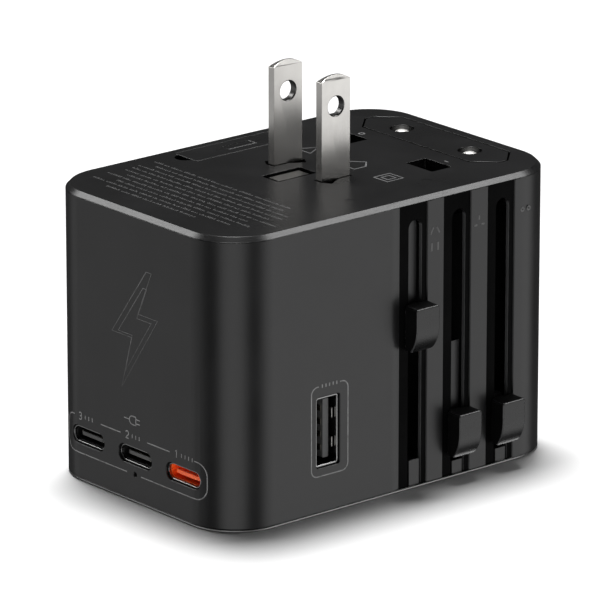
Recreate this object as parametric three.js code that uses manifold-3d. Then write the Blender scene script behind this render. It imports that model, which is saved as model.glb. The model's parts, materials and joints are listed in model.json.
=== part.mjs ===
import * as THREE from "three";
import { mergeVertices } from "three/addons/utils/BufferGeometryUtils.js";
import Module from "manifold-3d";

// Universal travel adapter with a built-in USB charger, millimetres, +Z up.
// The origin is the centre of the socket face, which the adapter stands on. The plug face is at the top,
// the USB-C face is on -Y, and the three slider channels and the USB-A port are on +X.
// The US blades are pushed out and the UK and EU plugs are pulled in.

// Housing
const WIDTH = 50;
const LENGTH = 75.5;
const HEIGHT = 52;
const CORNER = 10;
const CHAMFER = 1;
const WALL = 1.8;
const FACE = 1.8;
const RIM = 1.2;
const GAP = 0.3;
const SKIRT = 1.2;
const SKIRT_DEPTH = 3.2;
const ARC_STEPS = 7;

// Plugs: places on the plug face, sections, and how far each stands out of the face or lies below it
const US = { x: 6.35, y: 1.05, thick: 1.5, wide: 6.35, out: 18.4, turn: 30 };
const US_TIP = { rise: 0.95, eye: 1.7, eyeAbove: 12.9 };
const UK = { x: 11.1, y: 18.7, wide: 6.35, thick: 4, below: 5.2 };
const EARTH = { y: -3.5, wide: 4, long: 8, below: 0.2 };
const EU = { x: 9, y: 30, radius: 2, below: 0.2, block: [35.2, 9.1, 15.5], slope: 3.6, blunt: 0.9 };
const DIMPLES = { radius: 1.2, deep: 0.3, at: [[18.7, -5.6], [18, 12.2]] };

// Slider channels: centres of the channel and of its slot, lowest edge of the knob, lower end of the slot
const CHANNEL = { wide: 6.15, deep: 0.25, panel: 0.8, slot: 2.95, slotTop: 48.2 };
const SLIDERS = {
  us: { channel: 3.28, y: 3.78, knob: 25.3, slotBottom: 5.2 },
  uk: { channel: 13.13, y: 13.63, knob: 4.2, slotBottom: 3 },
  eu: { channel: 23.15, y: 23.65, knob: 4.2, slotBottom: 3 },
};
const KNOB = { wide: 5.1, tall: 8.3, proud: 3.3, neck: 2.3 };
const WEB = { wide: 2.5, from: 22, to: 23.6 };

// Charger ports: centres, and the standard sizes of their receptacles
const USB_C_XS = [-12.9, 0, 12.9];
const USB_C = { z: 8.4, inside: [8.34, 2.56], shell: 0.2, deep: 7.3, tongue: [6.69, 0.7] };
const USB_A = { y: -15.8, z: 14.75, inside: [4.4, 11.8], shell: 0.3, deep: 13.4, tongue: [1.3, 10.6] };

// Socket face: one row for live and neutral, and earth holes behind it
const SOCKET = { rowY: 4, earthY: -18.2, smallEarthY: -7.9, contactFrom: 3.4, contactTo: 16 };
const SOCKET_HOLES = {
  blade: { x: 6.35, halfX: 1.1, halfY: 3.7 },
  pin: { x: 10.6, halfX: 3.8, halfY: 2.35 },
  earth: { halfX: 2.2, halfY: 4.3 },
  smallEarth: { wide: 5, long: 7, radius: 2.4 },
};

// Fuse drawer under the plug face
const FUSE = { x: -19.5, long: 20, radius: 2.5, bay: [6.2, 22], lid: 1.6 };

const FINISHES = {
  blackShell: { color: 0x2b2b2d, roughness: 0.42, metalness: 0 },
  darkPlastic: { color: 0x161617, roughness: 0.5, metalness: 0 },
  whitePlastic: { color: 0xd8d6cf, roughness: 0.55, metalness: 0 },
  orangePlastic: { color: 0xf06a2c, roughness: 0.4, metalness: 0 },
  nickel: { color: 0xc9c8c6, roughness: 0.28, metalness: 1 },
  brass: { color: 0xc8a24e, roughness: 0.32, metalness: 1 },
  board: { color: 0x1d4a33, roughness: 0.5, metalness: 0 },
  ferrite: { color: 0x35363a, roughness: 0.7, metalness: 0 },
  copper: { color: 0xb56a3a, roughness: 0.35, metalness: 1 },
  yellowPlastic: { color: 0xd9b63c, roughness: 0.5, metalness: 0 },
  aluminium: { color: 0x9fa3a8, roughness: 0.35, metalness: 1 },
  glass: { color: 0xe6ecec, roughness: 0.08, metalness: 0 },
};

const wasm = await Module();
wasm.setup();

function solidOf(geometry) {
  geometry.deleteAttribute("normal");
  geometry.deleteAttribute("uv");
  const merged = mergeVertices(geometry, 1e-4);
  const vertProperties = merged.attributes.position.array;
  const triVerts = new Uint32Array(merged.index.array);
  return new wasm.Manifold(new wasm.Mesh({ numProp: 3, vertProperties, triVerts }));
}

function geometryOf(solid) {
  const mesh = solid.getMesh();
  const geometry = new THREE.BufferGeometry();
  geometry.setAttribute("position", new THREE.BufferAttribute(mesh.vertProperties, 3));
  geometry.setIndex(new THREE.BufferAttribute(mesh.triVerts, 1));
  geometry.computeVertexNormals();
  return geometry;
}

function piece(group, name, finish, solid) {
  const mesh = new THREE.Mesh(geometryOf(solid), new THREE.MeshStandardMaterial(FINISHES[finish]));
  mesh.name = name;
  group.add(mesh);
}

function joined(solids) {
  return solids.reduce((sum, next) => sum.add(next));
}

function cut(solid, holes) {
  return holes.reduce((rest, hole) => rest.subtract(hole), solid);
}

// A box from its lowest and highest value on each axis.
function block([x0, x1], [y0, y1], [z0, z1]) {
  const box = new THREE.BoxGeometry(x1 - x0, y1 - y0, z1 - z0);
  box.translate((x0 + x1) / 2, (y0 + y1) / 2, (z0 + z1) / 2);
  return solidOf(box);
}

// A box round a centre, by its half sizes in X and Y.
function column(x, y, halfX, halfY, zs) {
  return block([x - halfX, x + halfX], [y - halfY, y + halfY], zs);
}

const ALONG_X = new THREE.Matrix4().makeBasis(
  new THREE.Vector3(0, 1, 0),
  new THREE.Vector3(0, 0, 1),
  new THREE.Vector3(1, 0, 0),
);
const ALONG_Y = new THREE.Matrix4().makeBasis(
  new THREE.Vector3(0, 0, 1),
  new THREE.Vector3(1, 0, 0),
  new THREE.Vector3(0, 1, 0),
);
const ALONG_Z = new THREE.Matrix4();

// An outline pushed from one value to another along an axis.
// The outline is drawn in XY for Z, in YZ for X and in ZX for Y.
function prism(shape, [from, to], along = ALONG_Z, arcSteps = ARC_STEPS) {
  const options = { depth: to - from, bevelEnabled: false, curveSegments: arcSteps };
  const geometry = new THREE.ExtrudeGeometry(shape, options);
  geometry.translate(0, 0, from);
  geometry.applyMatrix4(along);
  return solidOf(geometry);
}

function roundedRect(wide, long, radius, [u, v] = [0, 0]) {
  const right = u + wide / 2 - radius;
  const left = u - wide / 2 + radius;
  const top = v + long / 2 - radius;
  const bottom = v - long / 2 + radius;
  const shape = new THREE.Shape();
  shape.absarc(right, top, radius, 0, Math.PI / 2);
  shape.absarc(left, top, radius, Math.PI / 2, Math.PI);
  shape.absarc(left, bottom, radius, Math.PI, 1.5 * Math.PI);
  shape.absarc(right, bottom, radius, 1.5 * Math.PI, 2 * Math.PI);
  shape.closePath();
  return shape;
}

function disc(radius, [u, v]) {
  return new THREE.Shape().absarc(u, v, radius, 0, 2 * Math.PI);
}

function polygon(points) {
  return new THREE.Shape(points.map(([u, v]) => new THREE.Vector2(u, v)));
}

function mirroredX(solid) {
  return solid.mirror([1, 0, 0]);
}

// Bodies of the housing
const INSIDE_X = WIDTH / 2 - WALL;
const INSIDE_Y = LENGTH / 2 - WALL;
const COVER_Z = HEIGHT - RIM;
const UNDER_FACE = HEIGHT - FACE;

// The outline of the housing drawn in by some amount, pushed along Z.
function housingPrism(inset, zs) {
  return prism(roundedRect(WIDTH - 2 * inset, LENGTH - 2 * inset, CORNER - inset), zs);
}

// A block of some width in Y, centred on a slider's channel or on its slot.
function centredBlock(y, xs, zs, wide) {
  return block(xs, [y - wide / 2, y + wide / 2], zs);
}

function usbCOutline(x, grow) {
  const [wide, tall] = USB_C.inside;
  const high = tall + 2 * grow;
  return roundedRect(high, wide + 2 * grow, high / 2 - 0.01, [USB_C.z, x]);
}

function usbAOutline(grow) {
  const [wide, tall] = USB_A.inside;
  return roundedRect(wide + 2 * grow, tall + 2 * grow, 0.4, [USB_A.y, USB_A.z]);
}

const PORT_CLEARANCE = 0.33;
const PORT_ARC_STEPS = 3;
const LIGHT = { z: 5.16, radius: 0.3, setBack: 0.15 };
const OUTSIDE = 1;

function outerSleeve() {
  const ends = [RIM + GAP, COVER_Z - GAP];
  const wall = housingPrism(0, ends).subtract(housingPrism(WALL, [0, HEIGHT]));
  const floor = WIDTH / 2 - CHANNEL.deep;
  const front = [-LENGTH / 2 - OUTSIDE, -INSIDE_Y + OUTSIDE];
  const side = [INSIDE_X - OUTSIDE, WIDTH / 2 + OUTSIDE];
  const slots = Object.values(SLIDERS).flatMap((slider) => {
    const round = CHANNEL.slotTop - CHANNEL.slot / 2;
    return [
      centredBlock(slider.channel, [floor, side[1]], [0, HEIGHT], CHANNEL.wide),
      centredBlock(slider.channel, [side[0], floor - CHANNEL.panel], [0, HEIGHT], CHANNEL.wide),
      centredBlock(slider.y, side, [0, round], CHANNEL.slot),
      prism(disc(CHANNEL.slot / 2, [slider.y, round]), side, ALONG_X),
    ];
  });
  const ports = USB_C_XS.map((x) => prism(usbCOutline(x, PORT_CLEARANCE), front, ALONG_Y, PORT_ARC_STEPS));
  const usbA = prism(usbAOutline(PORT_CLEARANCE + USB_A.shell - USB_C.shell), side, ALONG_X, PORT_ARC_STEPS);
  const light = prism(disc(2 * LIGHT.radius, [LIGHT.z, 0]), front, ALONG_Y);
  return cut(wall, [...slots, ...ports, usbA, light]);
}

// A cover: a chamfered plate over the whole outline with a skirt that plugs into the sleeve.
function coverPlate() {
  const outline = roundedRect(WIDTH - 2 * CHAMFER, LENGTH - 2 * CHAMFER, CORNER - CHAMFER);
  const plate = new THREE.ExtrudeGeometry(outline, {
    depth: HEIGHT - 2 * CHAMFER,
    bevelEnabled: true,
    bevelThickness: CHAMFER,
    bevelSize: CHAMFER,
    bevelSegments: 1,
    curveSegments: ARC_STEPS,
  });
  plate.translate(0, 0, CHAMFER);
  return solidOf(plate).intersect(housingPrism(-OUTSIDE, [COVER_Z, HEIGHT]));
}

function skirt(zs) {
  const inset = WALL + GAP;
  const ring = housingPrism(inset, zs).subtract(housingPrism(inset + SKIRT, [0, HEIGHT]));
  const first = SLIDERS.us.channel - CHANNEL.wide / 2 - GAP;
  const last = SLIDERS.eu.channel + CHANNEL.wide / 2 + GAP;
  return ring.subtract(block([INSIDE_X - 2 * SKIRT, WIDTH], [first, last], [0, HEIGHT]));
}

// The opening that a blade needs to turn on its foot, as a fan of its own section.
function bladeFan(side, zs) {
  const steps = 3;
  const section = column(0, 0, US.thick / 2 + GAP, US.wide / 2 + GAP, zs);
  const turns = Array.from({ length: steps + 1 }, (_, i) => (side * US.turn * i) / steps);
  const fan = joined(turns.map((turn) => section.rotate([0, 0, turn])));
  return fan.translate([side * US.x, US.y, 0]);
}

const [EU_WIDE, EU_TALL, EU_DEEP] = EU.block;

function euOutline(grow) {
  const halfX = EU_WIDE / 2 + grow;
  const halfY = EU_TALL / 2 + grow;
  const slopeX = halfX - EU.slope;
  const endY = EU.blunt;
  const corners = [
    [halfX, -endY],
    [halfX, endY],
    [slopeX, halfY],
    [-slopeX, halfY],
    [-halfX, endY],
    [-halfX, -endY],
    [-slopeX, -halfY],
    [slopeX, -halfY],
  ];
  return polygon(corners.map(([x, y]) => [x, y + EU.y]));
}

const LID_LONG = FUSE.bay[1] - 1.6;
const LID_NOTCH = { radius: 1.9, deep: 1 };
const FUSE_ROOM = { to: -16, halfY: 12 };

function plugFaceCover() {
  const through = [COVER_Z - 5, HEIGHT + OUTSIDE];
  const plate = coverPlate().add(housingPrism(WALL + GAP, [UNDER_FACE, COVER_Z]));
  const roomX = [-INSIDE_X - OUTSIDE, FUSE_ROOM.to];
  const fuseRoom = block(roomX, [-FUSE_ROOM.halfY, FUSE_ROOM.halfY], [UNDER_FACE - 6, UNDER_FACE]);
  const ring = skirt([COVER_Z - SKIRT_DEPTH - FACE, UNDER_FACE]).subtract(fuseRoom);
  const bayY = LID_LONG / 2 + GAP;
  const dimpleZ = [HEIGHT - DIMPLES.deep, HEIGHT + OUTSIDE];
  return cut(plate.add(ring), [
    bladeFan(-1, through),
    bladeFan(1, through),
    column(-UK.x, UK.y, UK.wide / 2 + GAP, UK.thick / 2 + GAP, through),
    column(UK.x, UK.y, UK.wide / 2 + GAP, UK.thick / 2 + GAP, through),
    column(0, EARTH.y, EARTH.wide / 2 + GAP, EARTH.long / 2 + GAP, through),
    prism(euOutline(GAP), through),
    column(FUSE.x, 0, FUSE.bay[0] / 2, bayY, through),
    prism(disc(LID_NOTCH.radius, [FUSE.x, -bayY]), [HEIGHT - LID_NOTCH.deep, HEIGHT + OUTSIDE]),
    ...DIMPLES.at.map((place) => prism(disc(DIMPLES.radius, place), dimpleZ)),
  ]);
}

function socketFaceCover() {
  const through = [-OUTSIDE, FACE + OUTSIDE];
  const plate = coverPlate().mirror([0, 0, 1]).translate([0, 0, HEIGHT]);
  const inner = housingPrism(WALL + GAP, [RIM, FACE]);
  const ring = skirt([FACE, RIM + SKIRT_DEPTH]);
  const toe = CHANNEL.slot / 2 - GAP;
  const toes = Object.values(SLIDERS).map((slider) =>
    block([INSIDE_X - 2, WIDTH / 2 - GAP], [slider.y - toe, slider.y + toe], [RIM, slider.slotBottom]),
  );
  const base = joined([plate, inner, ring, ...toes]);
  const { blade, pin, earth, smallEarth } = SOCKET_HOLES;
  const rowHoles = [-1, 1].flatMap((side) => [
    column(side * blade.x, SOCKET.rowY, blade.halfX, blade.halfY, through),
    column(side * pin.x, SOCKET.rowY, pin.halfX, pin.halfY, through),
  ]);
  const small = roundedRect(smallEarth.wide, smallEarth.long, smallEarth.radius, [0, SOCKET.smallEarthY]);
  return cut(base, [
    ...rowHoles,
    column(0, SOCKET.earthY, earth.halfX, earth.halfY, through),
    prism(small, through),
  ]);
}

// Slider parts. Each carriage has a web that shows in its slot, and a knob fixed to the web.
function web(slider, top) {
  const round = top - WEB.wide / 2;
  const xs = [WEB.from, WEB.to];
  const strip = centredBlock(slider.y, xs, [slider.knob, round], WEB.wide);
  return strip.add(prism(disc(WEB.wide / 2, [slider.y, round]), xs, ALONG_X, 3));
}

// The side of a knob: rounded over at the top, and drawn in to the case in a long curve at the bottom.
function knob(slider) {
  const back = WIDTH / 2 - CHANNEL.deep + GAP;
  const front = WIDTH / 2 + KNOB.proud;
  const low = slider.knob;
  const high = low + KNOB.tall;
  const outline = new THREE.Shape();
  outline.moveTo(low, back);
  outline.lineTo(high, back);
  outline.lineTo(high - 0.3, front - 0.9);
  outline.quadraticCurveTo(high - 0.4, front, high - 1.3, front);
  outline.lineTo(low + 5, front);
  outline.bezierCurveTo(low + 2.6, front, low + 1, front - 0.6, low, front - 1.7);
  outline.closePath();
  const body = prism(outline, [slider.y - KNOB.wide / 2, slider.y + KNOB.wide / 2], ALONG_Y);
  const neck = centredBlock(slider.y, [WEB.to + GAP, back + GAP], [low + GAP, high - GAP], KNOB.neck);
  return body.add(neck);
}

// The US carriage: two plates for the blades' feet, a bridge round the earth pin, and an arm to the web
const US_PLATE = [38, 41];
const US_FOOT = { radius: 3.4, top: 44.3, pin: 1.3 };
const US_BRIDGE = [-12.5, -8.2];
const US_CHEEK = { y: -1.7, halfY: 6.6 };
const US_ARM = { from: 9, lug: 12, lugHalf: 2.9 };
const WIPER = { from: 14.2, thick: 0.5, leaf: 3 };
const US_WIPER = { leafY: [5.6, 7.6], seatY: 2.7, seatX: 11 };
const UK_WIPER = { leafY: [8.4, 10.6], seatY: 16.2, seatX: 13 };

function usCarrier() {
  const reach = US.x + US_FOOT.radius + 0.1;
  const inner = EARTH.wide / 2 + 0.6;
  const bridge = block([-reach, reach], US_BRIDGE, US_PLATE);
  const sides = [-1, 1].flatMap((side) => {
    const mid = (side * (inner + reach)) / 2;
    return [
      column(mid, US_CHEEK.y, (reach - inner) / 2, US_CHEEK.halfY, US_PLATE),
      column(side * US_ARM.lug, SLIDERS.us.y, US_ARM.lugHalf, WEB.wide / 2, US_PLATE),
    ];
  });
  const arm = centredBlock(SLIDERS.us.y, [US_ARM.from, WEB.to], US_PLATE, WEB.wide);
  const pivots = [-1, 1].map((side) =>
    prism(disc(US_FOOT.pin + 0.1, [side * US.x, US.y]), [US_PLATE[0] - 1, US_PLATE[1] + 1]),
  );
  return cut(joined([bridge, ...sides, arm, web(SLIDERS.us, CHANNEL.slotTop + GAP)]), pivots);
}

function usBlade(side) {
  const tip = HEIGHT + US.out;
  const half = US.wide / 2;
  const radius = (half * half + US_TIP.rise * US_TIP.rise) / (2 * US_TIP.rise);
  const spread = Math.asin(half / radius);
  const outline = new THREE.Shape();
  outline.moveTo(US.y - half, US_FOOT.top - 1);
  outline.lineTo(US.y + half, US_FOOT.top - 1);
  outline.lineTo(US.y + half, tip - US_TIP.rise);
  outline.absarc(US.y, tip - radius, radius, Math.PI / 2 - spread, Math.PI / 2 + spread);
  outline.closePath();
  const sides = [side * US.x - US.thick / 2, side * US.x + US.thick / 2];
  const eyeDisc = disc(US_TIP.eye, [US.y, HEIGHT + US_TIP.eyeAbove]);
  const eye = prism(eyeDisc, [sides[0] - 1, sides[1] + 1], ALONG_X);
  const foot = prism(disc(US_FOOT.radius, [side * US.x, US.y]), [US_PLATE[1] + GAP, US_FOOT.top]);
  const pivot = prism(disc(US_FOOT.pin, [side * US.x, US.y]), [US_PLATE[0] - 0.8, US_FOOT.top - 1]);
  return joined([prism(outline, sides, ALONG_X), foot, pivot]).subtract(eye);
}

// A leaf that lies on the carriage and reaches down beside the bus bar.
function wiper(side, top, { leafY, seatY, seatX }) {
  const xs = [WIPER.from, WIPER.from + WIPER.thick];
  const leaf = block(xs, leafY, [top - WIPER.leaf, top + GAP + WIPER.thick]);
  const seat = [Math.min(leafY[0], seatY), Math.max(leafY[1], seatY)];
  const tab = block([seatX, xs[1]], seat, [top + GAP, top + GAP + WIPER.thick]);
  const right = leaf.add(tab);
  return side > 0 ? right : mirroredX(right);
}

// The UK carriage: a spine under the live and neutral pins, with an arm to the earth pin and one to the web
const UK_PLATE = [19.3, 24.3];
const UK_SPINE = { halfX: 14.5, y: [16, 21.2] };
const UK_ARMS = { earthHalf: 1.9, from: 11.5, into: 17 };

function ukCarrier() {
  const { y } = SLIDERS.uk;
  const { earthHalf, from, into } = UK_ARMS;
  const spine = block([-UK_SPINE.halfX, UK_SPINE.halfX], UK_SPINE.y, UK_PLATE);
  const earthArm = block([-earthHalf, earthHalf], [EARTH.y - EARTH.long / 2, into], UK_PLATE);
  const elbow = block([from, UK_SPINE.halfX], [y - WEB.wide / 2, into], UK_PLATE);
  const arm = centredBlock(y, [from, WEB.to], UK_PLATE, WEB.wide);
  return joined([spine, earthArm, elbow, arm, web(SLIDERS.uk, UK_PLATE[1])]);
}

// A pin with a chamfered tip, standing on a carrier plate.
function flatPin(x, y, halfX, halfY, [foot, tip]) {
  const bevel = 1;
  const shaft = column(x, y, halfX, halfY, [foot, tip - bevel]);
  const nose = new THREE.CylinderGeometry(Math.SQRT1_2, Math.SQRT2, bevel, 4, 1);
  nose.rotateY(Math.PI / 4);
  nose.rotateX(Math.PI / 2);
  nose.scale(halfX, halfY, 1);
  nose.translate(x, y, tip - bevel / 2);
  return shaft.add(solidOf(nose));
}

function roundPin(x) {
  const tip = HEIGHT - EU.below;
  const foot = SLIDERS.eu.knob + KNOB.tall + GAP;
  const outline = new THREE.Path();
  outline.moveTo(0, foot);
  outline.lineTo(EU.radius, foot);
  outline.lineTo(EU.radius, tip - EU.radius);
  outline.absarc(0, tip - EU.radius, EU.radius, 0, Math.PI / 2);
  const pin = new THREE.LatheGeometry(outline.getPoints(3), 12);
  pin.rotateX(Math.PI / 2);
  pin.translate(x, EU.y, 0);
  return solidOf(pin);
}

// The EU carriage: a beam under the two pins, and an arm to the web
const EU_BEAM = { halfX: 13, y: [25.6, 33.5], tall: 4, armFrom: 9 };

function euCarrier() {
  const { halfX, tall, armFrom } = EU_BEAM;
  const top = SLIDERS.eu.knob + KNOB.tall;
  const plate = [top - tall, top];
  const { y } = SLIDERS.eu;
  const beam = block([-halfX, halfX], EU_BEAM.y, plate);
  const elbow = block([armFrom, halfX], [y - WEB.wide / 2, EU_BEAM.y[0] + GAP], plate);
  const arm = centredBlock(y, [armFrom, WEB.to], plate, WEB.wide);
  return joined([beam, elbow, arm, web(SLIDERS.eu, plate[1])]);
}

function euPlugBlock() {
  const zs = [HEIGHT - EU_DEEP, HEIGHT];
  const through = [zs[0] - OUTSIDE, HEIGHT + OUTSIDE];
  const holes = [-EU.x, EU.x].map((x) => prism(disc(EU.radius + GAP, [x, EU.y]), through));
  return cut(prism(euOutline(0), zs), holes);
}

// A comb that keeps the three carriages upright: one finger beside each arm.
const INNER_TOP = 45.3;
const GUIDE = { x: [18.3, 19.5], y: [-11, 31], slitFrom: 6.5 };

function sliderGuide() {
  const across = [GUIDE.x[0] - 1, GUIDE.x[1] + 1];
  const up = [GUIDE.slitFrom, INNER_TOP + 1];
  const slits = Object.values(SLIDERS).map(({ y }) => centredBlock(y, across, up, WEB.wide + 2 * GAP));
  return cut(block(GUIDE.x, GUIDE.y, [FACE + GAP, INNER_TOP]), slits);
}

// Socket contacts: open sheet-metal cages that grip whatever pin comes in
function cage([x0, x1], [y0, y1], zs, sheet) {
  const room = block([x0 + sheet, x1 - sheet], [y0 + sheet, y1 - sheet], [zs[0] - 1, zs[1] + 1]);
  return block([x0, x1], [y0, y1], zs).subtract(room);
}

const CONTACT_Z = [SOCKET.contactFrom, SOCKET.contactTo];
const SHEET = 0.5;
const ROW_CAGE = { x: [4.7, 14.7], halfY: 4, slit: [8.2, 8.8], slitTop: 10 };
const EARTH_CAGE = { halfX: 2.8, halfY: 4.7 };
const SMALL_CAGE = { halfX: 3.1, halfY: 4.1 };

function rowContact(side) {
  const ys = [SOCKET.rowY - ROW_CAGE.halfY, SOCKET.rowY + ROW_CAGE.halfY];
  const right = cage(ROW_CAGE.x, ys, CONTACT_Z, SHEET);
  const slit = block(ROW_CAGE.slit, [ys[0] - 1, ys[1] + 1], [0, ROW_CAGE.slitTop]);
  const spring = right.subtract(slit);
  return side > 0 ? spring : mirroredX(spring);
}

function earthContact() {
  const cages = [
    [EARTH_CAGE, SOCKET.earthY],
    [SMALL_CAGE, SOCKET.smallEarthY],
  ].map(([{ halfX, halfY }, y]) => cage([-halfX, halfX], [y - halfY, y + halfY], CONTACT_Z, SHEET));
  const strapFrom = SOCKET.earthY + EARTH_CAGE.halfY - SHEET / 2;
  const strap = block([-1, 1], [strapFrom, SOCKET.smallEarthY - SMALL_CAGE.halfY + SHEET / 2], [10, 15]);
  return joined([...cages, strap]);
}

const BUS_BAR = { x: [15, 15.6], y: [5.4, 10.9], from: 3.2 };

function busBar(side) {
  const right = block(BUS_BAR.x, BUS_BAR.y, [BUS_BAR.from, INNER_TOP]);
  return side > 0 ? right : mirroredX(right);
}

const SHUTTER = { halfX: 15.3, y: [-0.6, 8.6], z: [FACE + GAP, SOCKET.contactFrom - GAP] };
const SPRING = { turns: 6, half: 4, from: 9, pitch: 2.8, wire: 0.6 };

function shutter() {
  return block([-SHUTTER.halfX, SHUTTER.halfX], SHUTTER.y, SHUTTER.z);
}

function shutterSpring() {
  const points = [];
  const z = (SHUTTER.z[0] + SHUTTER.z[1]) / 2;
  for (let i = 0; i <= SPRING.turns; i += 1) {
    points.push([i % 2 ? SPRING.half : -SPRING.half, SPRING.from + SPRING.pitch * i]);
  }
  const runs = points.slice(1).map(([x, y], i) => {
    const [x0, y0] = points[i];
    const angle = Math.atan2(y - y0, x - x0);
    const length = Math.hypot(x - x0, y - y0) + SPRING.wire;
    const bar = new THREE.BoxGeometry(length, SPRING.wire, SPRING.wire);
    bar.rotateZ(angle);
    bar.translate((x + x0) / 2, (y + y0) / 2, z);
    return solidOf(bar);
  });
  return joined(runs);
}

// Fuse bay under its lid: the working fuse lies in two clips, the spare above it
const BAY_WALL = 0.5;
const BAY_X = [FUSE.x - FUSE.bay[0] / 2 - BAY_WALL, FUSE.x + FUSE.bay[0] / 2 + BAY_WALL];
const WORKING_Z = 41.2;
const SPARE_Z = 47.2;
const HOLDER = { halfY: 11.7, from: 37.6, floor: 38.2 };
const CLIP = { halfX: 2.9, y: [6, 9.4], above: 1.5 };
const CAP_LONG = 5;

function fuseHolder() {
  const outer = block(BAY_X, [-HOLDER.halfY, HOLDER.halfY], [HOLDER.from, UNDER_FACE - GAP]);
  const room = column(FUSE.x, 0, FUSE.bay[0] / 2, FUSE.bay[1] / 2, [HOLDER.floor, HEIGHT]);
  return outer.subtract(room);
}

function fuse(z) {
  const tube = prism(disc(FUSE.radius - 0.2, [z, FUSE.x]), [-FUSE.long / 2 + 1, FUSE.long / 2 - 1], ALONG_Y);
  const caps = [-1, 1].map((end) => {
    const ys = [end * (FUSE.long / 2 - CAP_LONG), (end * FUSE.long) / 2].sort((a, b) => a - b);
    return prism(disc(FUSE.radius, [z, FUSE.x]), ys, ALONG_Y);
  });
  return joined([tube, ...caps]);
}

function fuseClip(end) {
  const ys = end > 0 ? CLIP.y : [-CLIP.y[1], -CLIP.y[0]];
  const zs = [HOLDER.floor + GAP, WORKING_Z + CLIP.above];
  const room = prism(disc(FUSE.radius + 0.1, [WORKING_Z, FUSE.x]), [ys[0] - 1, ys[1] + 1], ALONG_Y);
  return block([FUSE.x - CLIP.halfX, FUSE.x + CLIP.halfX], ys, zs).subtract(room);
}

function fuseLid() {
  const ys = [-LID_LONG / 2, LID_LONG / 2];
  const plate = column(FUSE.x, 0, FUSE.bay[0] / 2 - GAP, LID_LONG / 2, [HEIGHT - FUSE.lid, HEIGHT]);
  const notch = [HEIGHT - LID_NOTCH.deep, HEIGHT + OUTSIDE];
  return plate.subtract(prism(disc(LID_NOTCH.radius, [FUSE.x, ys[0] - GAP]), notch));
}

// Charger: how far the ports' mouths and tongues are set back, and the roots of the tongues
const SET_BACK = 0.4;
const SHELL_FRONT = -LENGTH / 2 + SET_BACK;
const C_TONGUE = { from: 0.6, to: 6.6, rootFrom: 5.8, rootTo: 7, rootHalf: 1 };
const A_TONGUE = { from: 1.2, to: 12, rootFrom: 11, rootTo: 13, rootHalf: 1.9, aside: 1.1 };

function usbCShell(x) {
  const ys = [SHELL_FRONT, SHELL_FRONT + USB_C.deep];
  const room = prism(usbCOutline(x, 0), [ys[0] - 1, ys[1] + 1], ALONG_Y, PORT_ARC_STEPS);
  return prism(usbCOutline(x, USB_C.shell), ys, ALONG_Y, PORT_ARC_STEPS).subtract(room);
}

function usbCTongue(x) {
  const [wide, thick] = USB_C.tongue;
  const zs = [USB_C.z - thick / 2, USB_C.z + thick / 2];
  const xs = [x - wide / 2, x + wide / 2];
  const blade = block(xs, [SHELL_FRONT + C_TONGUE.from, SHELL_FRONT + C_TONGUE.to], zs);
  const rootZ = [USB_C.z - C_TONGUE.rootHalf, USB_C.z + C_TONGUE.rootHalf];
  const root = block(xs, [SHELL_FRONT + C_TONGUE.rootFrom, SHELL_FRONT + C_TONGUE.rootTo], rootZ);
  return blade.add(root);
}

const USB_A_FRONT = WIDTH / 2 - SET_BACK;

function usbAShell() {
  const xs = [USB_A_FRONT - USB_A.deep, USB_A_FRONT];
  const room = prism(usbAOutline(0), [xs[0] - 1, xs[1] + 1], ALONG_X, PORT_ARC_STEPS);
  return prism(usbAOutline(USB_A.shell), xs, ALONG_X, PORT_ARC_STEPS).subtract(room);
}

function usbATongue() {
  const [thick, tall] = USB_A.tongue;
  const zs = [USB_A.z - tall / 2, USB_A.z + tall / 2];
  const y = USB_A.y + A_TONGUE.aside;
  const bladeX = [USB_A_FRONT - A_TONGUE.to, USB_A_FRONT - A_TONGUE.from];
  const rootX = [USB_A_FRONT - A_TONGUE.rootTo, USB_A_FRONT - A_TONGUE.rootFrom];
  const blade = block(bladeX, [y - thick / 2, y + thick / 2], zs);
  const root = block(rootX, [USB_A.y - A_TONGUE.rootHalf, USB_A.y + A_TONGUE.rootHalf], zs);
  return blade.add(root);
}

// Parts on the charger's boards
const CORE = { x: [-1, 14], y: [-33.5, -27.5], z: [27, 43], leg: [4, 9], window: [30, 40], yoke: 2 };
const WINDING = { wide: 9.2, long: 8.8, radius: 1.2 };
const CHOKE = { ring: 4.2, wire: 2, at: [-6, -29, 20] };
const MAINS_CAPACITOR = { radius: 4.5, at: [-16.5, -30.6], z: [14, 36] };
const OUTPUT_CAPACITOR = { radius: 3.1, at: [17.5, -29], z: [14, 24] };
const SAFETY_CAPACITOR = { x: [-21, -4], y: [-32, -25.5], z: [37.5, 45] };
const POWER_CHIP = { x: [4, 10], y: [-26.7, -25.5], z: [15, 21] };
const MAIN_BOARD = { x: [-22, 22], y: [-25.2, -24], z: [12, INNER_TOP] };
const INSULATING_SHEET = { x: [-22, 22], y: [-23.7, -23.2], z: [7.2, INNER_TOP] };
const USB_C_BOARD = { x: [-18, 18], y: [-35.1, -24], z: [5.5, 6.7] };
const USB_A_BOARD = { x: [8, 22.4], y: [-20, -19], z: [6, 26] };

function boxOf({ x, y, z }) {
  return block(x, y, z);
}

function canOf({ radius, at, z }) {
  return prism(disc(radius, at), z);
}

function transformerCore() {
  const [x0, x1] = CORE.x;
  const across = [CORE.y[0] - 1, CORE.y[1] + 1];
  const windows = [
    block([x0 + CORE.yoke, CORE.leg[0]], across, CORE.window),
    block([CORE.leg[1], x1 - CORE.yoke], across, CORE.window),
  ];
  return cut(boxOf(CORE), windows);
}

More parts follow.
